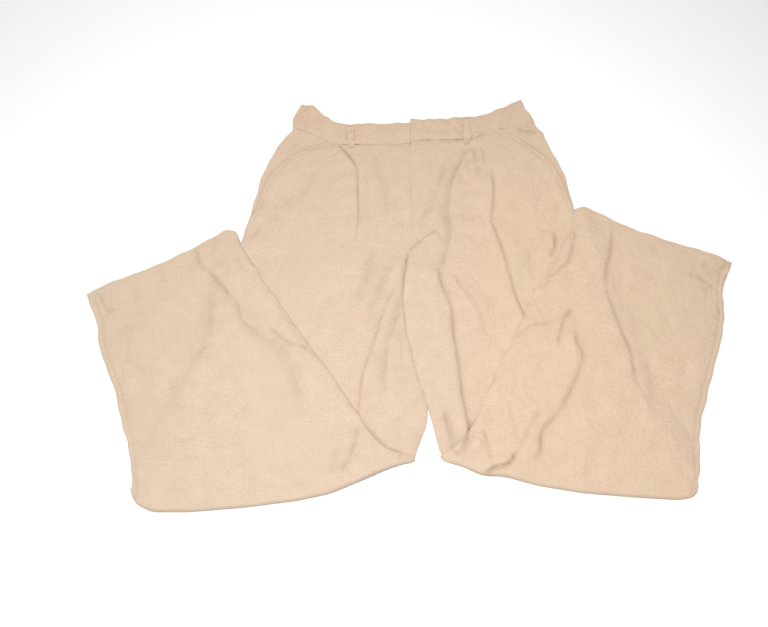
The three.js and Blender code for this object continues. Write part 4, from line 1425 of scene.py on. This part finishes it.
@dataclass
class Waistband:
    """A front or back waistband, from the waist seam up to its top edge.

    Attributes:
        legs: one leg for a front waistband, both for the back one.
        layer: front or back.
    """

    legs: tuple[Leg, ...]
    layer: Layer

    def __post_init__(self) -> None:
        """Name the waistband after its node."""
        self.front = self.layer is Layer.FRONT
        self.name = f"waistband_front_{self.legs[0].side.word}" if self.front else "waistband_back"

    def top(self, x: Array, which: int) -> Array:
        """Read the shape of the top edge.

        Args:
            x: places on the waist seam.
            which: 1 for how far the edge leans, 2 for how high it stands.

        Returns:
            The lean or the height over each place.
        """
        values = np.empty_like(x)
        for leg in self.legs:
            own = (x < CENTRE) == (leg.side is Side.RIGHT)
            rows = np.array(leg.band, float)
            smooth = edge_y(tuple(zip(rows[:, 0], rows[:, which])), x, 9)
            values = np.where(own, smooth, values)
        if not self.front:
            middle, drop = (44.5, BACK_BAND_DROP) if which == 2 else (0.0, 0)
            values = middle + (values - middle) * smoothstep(0, 40, np.abs(x - CENTRE)) - drop
        return values

    def seam(self, x: Array) -> Array:
        """Read the waist seam.

        Args:
            x: places along it.

        Returns:
            Its y at each place.
        """
        values = np.empty_like(x)
        for leg in self.legs:
            own = (x < CENTRE) == (leg.side is Side.RIGHT)
            values = np.where(own, edge_y(leg.waist if self.front else leg.back_waist, x), values)
        return values

    def places(self) -> tuple[Array, Array]:
        """Space the columns of the grid out along the seam.

        Returns:
            Their x on the seam, and the share of the height that the rounded ends leave.
        """
        first = self.legs[0].upper[0][0]
        last = self.legs[0].upper[0][2] if self.front else self.legs[1].upper[0][0]
        count = int(abs(last - first) / BAND_STEP)
        turn = np.linspace(0, math.pi / 2, 7)[:-1]
        inset = BAND_INSET + EDGE_ROUND * (1 - np.cos(turn))
        side = math.copysign(1, last - first)
        end = 0 if self.front else BAND_INSET + EDGE_ROUND
        middle = np.linspace(first + side * (BAND_INSET + EDGE_ROUND), last - side * end, count)
        xs, rounds = [first + side * inset, middle], [np.sin(turn), np.ones(count)]
        if not self.front:
            xs.append(last - side * inset[::-1])
            rounds.append(np.sin(turn)[::-1])
        return np.concatenate(xs), np.concatenate(rounds)

    def surface(self) -> Surface:
        """Build the middle surface of the waistband.

        Returns:
            The surface.
        """
        x0, rounding = self.places()
        up = np.linspace(0, 1, 19)[:, None]
        x = x0 + up**2 * self.top(x0, 1)
        y = self.seam(x0) + SEAM_GAP * 1.2 + up * self.top(x0, 2)
        seam = BAND_CLOTH + BAND_GAP / 2 + (BAND_SIDE_GAP / 2 if self.front else -BAND_SIDE_GAP / 2)
        full = BAND_CLOTH * 1.5 + BAND_GAP if self.front else BAND_CLOTH / 2
        z = seam + (full - seam) * rounding[None, :] + 0 * up
        hollow = np.zeros_like(z)
        if self.front:
            wave, net = Relief((), 71).crumple(x * 1.3, y * 1.3)
            pull = np.sin(x / 2.9 + 2.4 * np.sin(x / 23)) * (0.6 + 0.4 * np.sin(x / 37))
            pucker = 0.42 * pull * (1 - smoothstep(0, 0.42, np.minimum(up, 1 - up)))
            from_edge = np.minimum(up, 1 - up) * self.top(x0, 2)
            line = -0.5 * bell(from_edge, BAND_STITCH, 1.3)
            y = y + up**2 * waves(x, BAND_WAVES) * rounding
            turned = -1.2 * bell(up * self.top(x0, 2), 0, 1.7)
            drawn, pressed = np.zeros_like(z), np.zeros_like(z)
            for crease in self.legs[0].band_creases:
                height, depth = crease.shape(x, y)
                drawn, pressed = drawn + height, pressed + depth
            bulge = 0.7 + 0.5 * np.sin(math.pi * up)
            z = z + (drawn + 0.75 * wave + bulge + 1.3 * pucker + line + turned) * rounding
            # painted shade in the creases, in the hollows of the puckers and along the stitch lines
            hollow = pressed + 1.9 * net + 1.6 * np.maximum(-pucker, 0)
            hollow = hollow + 0.9 * bell(from_edge, BAND_STITCH, 1.5)
        pattern = np.stack([x0[None, :] + 0 * up, y], -1)
        self.shown = Surface(settle(np.stack([x, y, z], -1)), pattern, hollow)
        return self.shown

    def edge_stitches(self) -> list[Array]:
        """Lay out the rows of stitches along the edges of a front waistband.

        Returns:
            The lower and the upper line.
        """
        points = self.shown.points[:, 4:-4]
        rows = len(points) - 1
        heights = np.linalg.norm(points[-1] - points[0], axis=-1)
        columns = np.arange(points.shape[1])
        lines = []
        for share in (BAND_STITCH / heights, 1 - BAND_STITCH / heights):
            low = np.floor(share * rows).astype(int)
            between = (share * rows - low)[:, None]
            line = points[low, columns] * (1 - between) + points[low + 1, columns] * between
            lines.append(line + [0, 0, BAND_THICK / 2 + THREAD_SINK])
        return lines


@dataclass
class BeltLoop:
    """A flat strap sewn down above the waistband and below the waist seam.

    Attributes:
        leg: the pattern, with the strap's ends.
        band: the waistband that it crosses.
        panel: the front that it ends on.
    """

    leg: Leg
    band: Surface
    panel: Surface

    @property
    def name(self) -> str:
        """The node that the loop stands for."""
        return f"belt_loop_front_{self.leg.side.word}"

    def surface(self) -> Surface:
        """Build the middle surface of the strap, standing off a little between its ends.

        Returns:
            The surface.
        """
        top_x, top_y, end_x, end_y = self.leg.loop
        along = np.linspace(0, 1, 41)
        x, y = top_x + (end_x - top_x) * along, top_y + (end_y - top_y) * along
        on_band = self.band.height_at(x, y) + BAND_THICK / 2
        on_panel = self.panel.height_at(x, y) + THREAD_CLOTH / 2
        under = np.maximum(on_band, on_panel)
        kernel = np.hanning(11) / np.hanning(11).sum()
        under = np.convolve(np.pad(under, 5, "edge"), kernel, "valid")
        z = under + SEAM_GAP + LOOP_THICK / 2 + LOOP_ARCH * np.sin(math.pi * along) ** 0.8
        over = np.linspace(-LOOP_WIDTH / 2, LOOP_WIDTH / 2, 13)
        bow = -0.25 * (over / (LOOP_WIDTH / 2)) ** 2
        grid = np.stack([x[:, None] + over, y[:, None] + 0 * over, z[:, None] + bow], -1)
        # painted shade at the loop's ends and in spots along it
        ends = bell(np.minimum(along, 1 - along) * 50, 1.5, 2.2)[:, None]
        flat = np.stack([0 * x[:, None] + over, y[:, None] + 0 * over], -1)
        pressed = np.zeros(grid.shape[:2])
        for share, across, depth in self.leg.loop_shade:
            far = ((along[:, None] - share) * 48) ** 2 + (over[None, :] - across) ** 2
            pressed += depth * np.exp(-far / 2.1**2)
        self.shown = Surface(grid, flat, 3.6 * ends + pressed)
        return self.shown

    def tacks(self) -> list[Array]:
        """Lay out the close rows of stitches across both ends.

        Returns:
            The lines.
        """
        lines = []
        for row in (1, 2, -3, -2):
            line = self.shown.points[row, 1:-1]
            lines += [line + [0, shift, LOOP_THICK / 2 + THREAD_SINK] for shift in (0.0, 0.6)]
        return lines


# ---- Finishes ----
class Value:
    """A number or colour socket that can be used in plain arithmetic."""

    def __init__(self, shader: "Shader", socket: bpy.types.NodeSocket | None) -> None:
        """Wrap an output socket of a shader."""
        self.shader = shader
        self.socket = socket

    def _math(self, operation: str, *values: "Value | float") -> "Value":
        """Add one Math node over some values."""
        return self.shader.node("ShaderNodeMath", {"operation": operation}, dict(enumerate(values)))

    def __add__(self, other: "Value | float") -> "Value":
        """Sum of two values."""
        return self._math("ADD", self, other)

    __radd__ = __add__

    def __sub__(self, other: "Value | float") -> "Value":
        """This value less another."""
        return self._math("SUBTRACT", self, other)

    def __rsub__(self, other: float) -> "Value":
        """A number less this value."""
        return self._math("SUBTRACT", other, self)

    def __mul__(self, other: "Value | float") -> "Value":
        """Product of two values."""
        return self._math("MULTIPLY", self, other)

    __rmul__ = __mul__

    def sine(self) -> "Value":
        """Sine of this value."""
        return self._math("SINE", self)

    def clamped(self) -> "Value":
        """This value kept between 0 and 1."""
        return self.shader.node("ShaderNodeClamp", {}, {0: self, 1: 0.0, 2: 1.0})


class Shader:
    """The node tree of one material."""

    def __init__(self, name: str) -> None:
        """Start an empty material.

        Args:
            name: the material's name.
        """
        self.material = bpy.data.materials.new(name)
        self.material.use_nodes = True
        self.tree = self.material.node_tree
        self.tree.nodes.clear()

    def node(
        self,
        kind: str,
        settings: dict[str, object],
        inputs: dict[int | str, "Value | float | Colour"],
        output: int | str = 0,
    ) -> Value:
        """Add a node.

        Args:
            kind: the node's type.
            settings: its own settings, set before its sockets.
            inputs: a value or link for each named or numbered socket.
            output: the socket that is returned.

        Returns:
            The wrapped output, which is empty on a node that has none.
        """
        made = self.tree.nodes.new(kind)
        for key, value in settings.items():
            setattr(made, key, value)
        for key, value in inputs.items():
            if isinstance(value, Value):
                self.tree.links.new(value.socket, made.inputs[key])
            else:
                made.inputs[key].default_value = value
        return Value(self, made.outputs[output] if made.outputs else None)

    def mix(self, factor: Value | float, first: Value | Colour, second: Value | Colour) -> Value:
        """Blend two colours by a factor."""
        return self.node("ShaderNodeMix", {"data_type": "RGBA"}, {0: factor, 6: first, 7: second}, 2)

    def tinted(self, colour: Value, tint: Value) -> Value:
        """Multiply one colour by another."""
        how = {"data_type": "RGBA", "blend_type": "MULTIPLY"}
        return self.node("ShaderNodeMix", how, {0: 1.0, 6: colour, 7: tint}, 2)

    def axes(self, place: Value) -> tuple[Value, Value]:
        """Take the X and the Y of a place."""
        x = self.node("ShaderNodeSeparateXYZ", {}, {0: place})
        return x, Value(self, x.socket.node.outputs[1])

    def streaks(self, cloth: Value, across: float, down: float, detail: float) -> Value:
        """Make noise that is drawn out along the cloth.

        Args:
            cloth: the place on the flat cloth.
            across: how many lumps a metre has across the cloth.
            down: how many it has down the cloth.
            detail: how much finer noise is added.

        Returns:
            The noise, from 0 to 1.
        """
        drawn = self.node("ShaderNodeMapping", {}, {"Vector": cloth, "Scale": (across, down, 1)})
        return self.speckle(drawn, 1.0, detail)

    def speckle(self, place: Value, scale: float, detail: float) -> Value:
        """Make even flat noise."""
        inputs = {"Vector": place, "Scale": scale, "Detail": detail}
        return self.node("ShaderNodeTexNoise", {"noise_dimensions": "2D"}, inputs)

    def finish(self, surface: dict[str, "Value | float | Colour"]) -> bpy.types.Material:
        """Give the material its surface.

        Args:
            surface: a value or link for each named socket of the surface.

        Returns:
            The material.
        """
        shader = self.node("ShaderNodeBsdfPrincipled", {}, surface)
        self.node("ShaderNodeOutputMaterial", {}, {"Surface": shader})
        return self.material


@dataclass(frozen=True)
class Linen:
    """Washed plain-weave linen in natural beige.

    Attributes:
        name: the material's name.
        colour: main colour, linear.
        straw: the yellower tone of some patches.
        pale: colour of the paler slubs.
        dark: colour of the darker threads.
        even: the tint of the right side of the trousers.
        warm: the warmer tint of the left side.
        handled: painted shade, a little darker and yellower round the waist.
        deep: colour of the painted shade down in a pressed crease or seam.
        thread: width of a thread, in metres.
    """

    name: str = "linen"
    colour: Colour = (0.616, 0.4605, 0.343, 1)
    straw: Colour = (0.595, 0.4615, 0.331, 1)
    pale: Colour = (0.749, 0.582, 0.45, 1)
    dark: Colour = (0.479, 0.329, 0.228, 1)
    even: Colour = (0.961, 0.988, 1.0, 1)
    warm: Colour = (1.0, 1.0, 0.975, 1)
    handled: Colour = (0.972, 0.97, 0.945, 1)
    deep: Colour = (0.27, 0.18, 0.115, 1)
    thread: float = 0.00055

    def material(self) -> bpy.types.Material:
        """Build the woven finish on the cloth's own pattern map, with painted shade in the hollows and
        towards the waist.

        Returns:
            The material.
        """
        shader = Shader(self.name)
        cloth = shader.node("ShaderNodeUVMap", {"uv_map": "cloth"}, {})
        across, down = shader.axes(cloth)
        turns = math.pi / self.thread
        weave = (across * turns).sine() * (down * turns).sine()
        threads = shader.streaks(cloth, 90, 1100, 1.0) + shader.streaks(cloth, 1100, 90, 1.0)
        slub = shader.streaks(cloth, 28, 420, 1.0)
        mottle = shader.streaks(cloth, 38, 38, 3.0)
        grain = shader.speckle(cloth, 330.0, 3.0)
        fleck = (threads * 0.5 - 0.5) * 0.8 + (slub - 0.5) * 0.28 + (mottle - 0.5) * 0.6
        fleck = fleck + (grain - 0.5) * 1.25 + weave * 0.05
        base = shader.mix((0.5 + fleck).clamped(), self.dark, self.pale)
        patches = shader.streaks(cloth, 9, 9, 2.0)
        woven = shader.mix(0.45, self.colour, base)
        woven = shader.mix(((patches - 0.42) * 1.6).clamped(), woven, self.straw)
        left, upward = shader.axes(shader.node("ShaderNodeTexCoord", {}, {}, "Object"))
        sides = shader.mix((left * 8.0 - 0.2).clamped(), self.even, self.warm)
        # painted shade: the cloth turns a little darker and yellower towards the waist
        woven = shader.tinted(woven, shader.mix((upward * 12.0 - 2.5).clamped(), sides, self.handled))
        # painted shade: the hollow attribute mixes the deep colour into creases, seams and gaps
        hollow = shader.node("ShaderNodeAttribute", {"attribute_name": "hollow"}, {}, "Fac")
        relief = weave * 0.5 + threads * 0.8 + slub * 0.4 + grain * 1.6
        bump = {"Strength": 0.55, "Distance": 0.00022, "Height": relief}
        return shader.finish({
            "Base Color": shader.mix((hollow * HOLLOW_SHADE).clamped(), woven, self.deep),
            "Roughness": 0.88,
            "Specular IOR Level": 0.22,
            "Sheen Weight": 0.12,
            "Sheen Roughness": 0.5,
            "Normal": shader.node("ShaderNodeBump", {}, bump),
        })


@dataclass(frozen=True)
class Thread:
    """Sewing thread, a little paler than the cloth.

    Attributes:
        name: the material's name.
        colour: main colour, linear.
        shade: the darker tone of some spots.
    """

    name: str = "sewing_thread"
    colour: Colour = (0.66, 0.51, 0.375, 1)
    shade: Colour = (0.57, 0.435, 0.315, 1)

    def material(self) -> bpy.types.Material:
        """Build the thread's finish, a little speckled.

        Returns:
            The material.
        """
        shader = Shader(self.name)
        place = shader.node("ShaderNodeTexCoord", {}, {}, "Object")
        noise = shader.node("ShaderNodeTexNoise", {}, {"Vector": place, "Scale": 900.0, "Detail": 1.0})
        colour = shader.mix(noise, self.shade, self.colour)
        return shader.finish({"Base Color": colour, "Roughness": 0.7, "Specular IOR Level": 0.3})


@dataclass(frozen=True)
class PaleFloor:
    """The plain pale ground that the trousers lie on.

    Attributes:
        name: the material's name.
        colour: its colour, linear.
    """

    name: str = "pale_floor"
    colour: Colour = (0.94, 0.94, 0.94, 1)

    def material(self) -> bpy.types.Material:
        """Build a plain matt white finish."""
        matt = {"Base Color": self.colour, "Roughness": 0.9, "Specular IOR Level": 0.1}
        return Shader(self.name).finish(matt)


@dataclass
class Workshop:
    """Makes Blender pieces from surfaces, hangs them on the one body and hides the parts that they stand for.

    Attributes:
        linen: the cloth's finish.
        thread: the finish of the stitches.
    """

    linen: bpy.types.Material
    thread: bpy.types.Material

    @staticmethod
    def deselect() -> None:
        """Leave nothing selected."""
        for item in bpy.context.selected_objects:
            item.select_set(False)

    def take_up(self, piece: bpy.types.Object) -> None:
        """Select one piece alone.

        Args:
            piece: the piece that Blender's tools are to work on.
        """
        self.deselect()
        bpy.context.view_layer.objects.active = piece
        piece.select_set(True)

    def sheet_object(self, name: str, surface: Surface, thick: float, face_up: bool) -> bpy.types.Object:
        """Make a thin closed shell of cloth from a surface.

        Args:
            name: the piece's name.
            surface: its middle surface.
            thick: the cloth's thickness in millimetres.
            face_up: whether the grid's own winding already faces outwards.

        Returns:
            The finished piece.
        """
        rows, columns = surface.points.shape[:2]
        index = np.arange(rows * columns).reshape(rows, columns)
        quads = np.stack([index[:-1, :-1], index[:-1, 1:], index[1:, 1:], index[1:, :-1]], -1).reshape(-1, 4)
        if not face_up:
            quads = quads[:, ::-1]
        mesh = bpy.data.meshes.new(name)
        mesh.from_pydata((surface.points.reshape(-1, 3) * MM).tolist(), [], quads.tolist())
        layer = mesh.uv_layers.new(name="cloth")
        corners = np.empty(len(mesh.loops), int)
        mesh.loops.foreach_get("vertex_index", corners)
        flat = (surface.pattern.reshape(-1, 2) * MM)[corners]
        layer.data.foreach_set("uv", flat.astype(np.float32).ravel())
        # the hollow attribute sets how much painted shade the finish puts on each point
        deep = mesh.attributes.new("hollow", "FLOAT", "POINT")
        deep.data.foreach_set("value", surface.hollow.astype(np.float32).ravel())
        piece = bpy.data.objects.new(name, mesh)
        bpy.context.collection.objects.link(piece)
        self.take_up(piece)
        shell = piece.modifiers.new("cloth", "SOLIDIFY")
        shell.thickness = thick * MM
        shell.offset = 0
        shell.use_even_offset = False
        bpy.ops.object.modifier_apply(modifier=shell.name)
        bpy.ops.object.shade_smooth_by_angle(angle=math.radians(55))
        piece.data.materials.append(self.linen)
        self.deselect()
        return piece

    @staticmethod
    def register(piece: bpy.types.Object, node: str, cut: Cut, sewn: list[bpy.types.Object]) -> None:
        """Let a piece stand for a node and ride on the one body.

        Args:
            piece: the sheet.
            node: the node that it stands for.
            cut: its flat size; not used.
            sewn: the stitches on it; not used.
        """
        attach(piece, "root")
        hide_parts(node)


@dataclass
class Stitching:
    """Rows of stitches, each stitch a small capsule of thread lying in the cloth.

    Attributes:
        workshop: holds the thread's finish.
        length: length of a stitch, in millimetres.
        pitch: from the middle of one stitch to the next.
        radius: half its thickness.
    """

    workshop: Workshop
    length: float = 2.4
    pitch: float = 3.3
    radius: float = 0.21

    def __post_init__(self) -> None:
        """Model one stitch to copy."""
        self.workshop.deselect()
        lying = (0, math.pi / 2, 0)
        bpy.ops.mesh.primitive_uv_sphere_add(segments=6, ring_count=5, radius=1.0, rotation=lying)
        bead = bpy.context.active_object
        bpy.ops.object.transform_apply(location=False, rotation=True, scale=False)
        corners = np.empty(len(bead.data.vertices) * 3)
        bead.data.vertices.foreach_get("co", corners)
        self.corners = corners.reshape(-1, 3)
        # Blender gives the sphere's faces in another order each time, so they are sorted.
        self.faces = sorted(tuple(face.vertices) for face in bead.data.polygons)
        bpy.data.objects.remove(bead)

    def places(self, line: Array) -> list[tuple[Array, Array]]:
        """Space stitches out along a line.

        Args:
            line: its points, in millimetres.

        Returns:
            For each stitch its middle and its three half-axes, one in each row.
        """
        steps = np.linalg.norm(np.diff(line, axis=0), axis=1)
        reached = np.concatenate([[0.0], np.cumsum(steps)])
        quarter = self.length / 4
        found = []
        for at in np.arange(self.pitch / 2, reached[-1] - 0.7, self.pitch):
            behind, ahead = (
                np.array([np.interp(place, reached, line[:, k]) for k in range(3)])
                for place in (at - quarter, at + quarter)
            )
            run = (ahead - behind) / np.linalg.norm(ahead - behind)
            side = np.cross([0, 0, 1.0], run)
            side = side / np.linalg.norm(side)
            axes = np.stack([run * self.length / 2, side * self.radius, np.cross(run, side) * self.radius])
            found.append(((ahead + behind) / 2, axes))
        return found

    def run(self, name: str, lines: list[Array]) -> bpy.types.Object:
        """Sew along lines.

        Args:
            name: the piece's name.
            lines: for each line its points on top of the cloth, in millimetres.

        Returns:
            All the stitches as one piece.
        """
        points, faces = [], []
        for line in lines:
            for middle, axes in self.places(line):
                first = len(points) * len(self.corners)
                faces += [tuple(first + i for i in face) for face in self.faces]
                points.append(self.corners @ axes + middle)
        mesh = bpy.data.meshes.new(name)
        mesh.from_pydata((np.concatenate(points) * MM).tolist(), [], faces)
        piece = bpy.data.objects.new(name, mesh)
        bpy.context.collection.objects.link(piece)
        piece.data.materials.append(self.workshop.thread)
        self.workshop.take_up(piece)
        bpy.ops.object.shade_smooth()
        self.workshop.deselect()
        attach(piece, "root")
        return piece


@dataclass
class Studio:
    """The floor, the soft light and the camera.

    Attributes:
        aim: what the camera looks at, in metres.
        distance: how far the camera is from it.
        elevation: how steeply the camera looks down, in degrees.
        sensor: width of the camera's sensor, in millimetres.
        focal_share: focal length as a share of the sensor's width.
        floor_size: side of the floor, in metres.
        floor_drop: how far the floor lies under the cloth.
    """

    aim: tuple[float, float, float] = (-0.043974, -0.060811, 0.0)
    distance: float = 1.066
    elevation: float = 65.0
    sensor: float = 36.0
    focal_share: float = 700 / 768
    floor_size: float = 12.0
    floor_drop: float = 0.0004

    def camera(self) -> None:
        """Set the camera at the viewing angle."""
        data = bpy.data.cameras.new("camera")
        data.sensor_width = self.sensor
        data.lens = self.sensor * self.focal_share
        item = bpy.data.objects.new("camera", data)
        bpy.context.collection.objects.link(item)
        angle = math.radians(self.elevation)
        back = Vector((0, -math.cos(angle), math.sin(angle)))
        right = Vector((1, 0, 0))
        turn = Matrix((right, back.cross(right), back)).transposed().to_4x4()
        item.matrix_world = Matrix.Translation(Vector(self.aim) + back * self.distance) @ turn
        bpy.context.scene.camera = item

    def floor(self) -> None:
        """Lay the floor just under the cloth."""
        Workshop.deselect()
        bpy.ops.mesh.primitive_plane_add(size=self.floor_size, location=(0, 0, -self.floor_drop))
        bpy.ops.object.transform_apply(location=True, rotation=False, scale=False)
        item = bpy.context.active_object
        item.name = "floor"
        item.data.materials.append(PaleFloor().material())

    def light(self, name: str, place: tuple[float, float, float], size: float, power: float) -> None:
        """Hang one soft square light that faces the garment.

        Args:
            name: the light's name.
            place: where it hangs, in metres.
            size: its side, in metres.
            power: its power, in watts.
        """
        data = bpy.data.lights.new(name, "AREA")
        data.size = size
        data.energy = power
        item = bpy.data.objects.new(name, data)
        item.location = place
        item.rotation_euler = (Vector(place) - Vector((0, -0.05, 0))).to_track_quat("Z", "Y").to_euler()
        bpy.context.collection.objects.link(item)

    def build(self) -> None:
        """Set the whole studio up."""
        self.camera()
        self.floor()
        self.light("key", (-0.11, -0.42, 1.3), 0.22, 16.4)
        self.light("fill", (-0.35, 1.1, 1.8), 1.4, 9)
        world = bpy.data.worlds.new("studio")
        world.use_nodes = True
        sky = world.node_tree.nodes["Background"]
        sky.inputs["Color"].default_value = (1, 1, 1, 1)
        sky.inputs["Strength"].default_value = 0.42
        bpy.context.scene.world = world
        bpy.context.scene.view_settings.view_transform = "Standard"


@dataclass
class Trousers:
    """All the pieces of the garment.

    Attributes:
        workshop: makes the pieces.
        stitching: sews the rows of stitches.
        pieces: each sheet by the node that it stands for.
        cuts: the flat size of each sheet.
        sewn: the stitches on each sheet.
    """

    workshop: Workshop
    stitching: Stitching
    pieces: dict[str, bpy.types.Object] = field(default_factory=dict)
    cuts: dict[str, Cut] = field(default_factory=dict)
    sewn: dict[str, list[bpy.types.Object]] = field(default_factory=dict)

    def dress(self, node: str, surface: Surface, thick: float, face_up: bool) -> None:
        """Make the sheet for one node.

        Args:
            node: the node that it stands for.
            surface: its middle surface.
            thick: the cloth's thickness in millimetres.
            face_up: whether the grid's own winding already faces outwards.
        """
        self.pieces[node] = self.workshop.sheet_object(f"cloth_{node}", surface, thick, face_up)
        self.cuts[node] = surface.cut()
        self.sewn[node] = []

    def sew(self, node: str, name: str, lines: list[Array]) -> None:
        """Sew rows of stitches on one sheet.

        Args:
            node: the node of the sheet.
            name: the name of the stitches.
            lines: the lines that they follow.
        """
        self.sewn[node].append(self.stitching.run(f"stitches_{name}_{node}", lines))

    def panels(self, leg: Leg) -> Surface:
        """Make the front and the back of one leg, with their stitches.

        Args:
            leg: the pattern.

        Returns:
            The part of the front that shows.
        """
        face_up = leg.side is Side.LEFT
        front, back = Panel(leg, Layer.FRONT), Panel(leg, Layer.BACK)
        for panel in (front, back):
            self.dress(panel.name, panel.surface(), THREAD_CLOTH, face_up)
        self.sew(front.name, "pocket", front.mouth_stitches())
        self.sew(back.name, "hem", [back.hem_stitches()])
        if leg.side is Side.LEFT:
            line = rounded_path(FLY_STITCH, 6)
            self.sew(front.name, "fly", [front.shown.laid_on(line, THREAD_CLOTH)])
        return front.shown

    def waist(self, leg: Leg, front: Surface) -> None:
        """Make the facing, the front waistband and the belt loop of one side.

        Args:
            leg: the pattern.
            front: the part of the front that shows.
        """
        facing = Facing(leg)
        self.dress(facing.name, facing.surface(), THREAD_CLOTH, leg.side is Side.LEFT)
        band = Waistband((leg,), Layer.FRONT)
        self.dress(band.name, band.surface(), BAND_THICK, leg.side is Side.RIGHT)
        self.sew(band.name, "edges", band.edge_stitches())
        loop = BeltLoop(leg, band.shown, front)
        self.dress(loop.name, loop.surface(), LOOP_THICK, False)
        self.sew(loop.name, "tacks", loop.tacks())

    def build(self) -> None:
        """Make every piece in order and report it."""
        for leg in (RIGHT_LEG, LEFT_LEG):
            self.waist(leg, self.panels(leg))
        back = Waistband((RIGHT_LEG, LEFT_LEG), Layer.BACK)
        self.dress(back.name, back.surface(), BAND_THICK, False)
        for node, piece in self.pieces.items():
            cut = self.cuts[node]
            self.workshop.register(piece, node, cut, self.sewn[node])
            faces = len(piece.data.polygons)
            size = (cut.width, cut.length, cut.area)
            LOG.info("%s: %d faces, cut %.3f x %.3f m, %.4f m2", piece.name, faces, *size)


def main() -> None:
    """Build the studio and the garment."""
    logging.basicConfig(level=logging.INFO, format="%(message)s")
    Studio().build()
    workshop = Workshop(Linen().material(), Thread().material())
    Trousers(workshop, Stitching(workshop)).build()


if __name__ == "__main__":
    main()
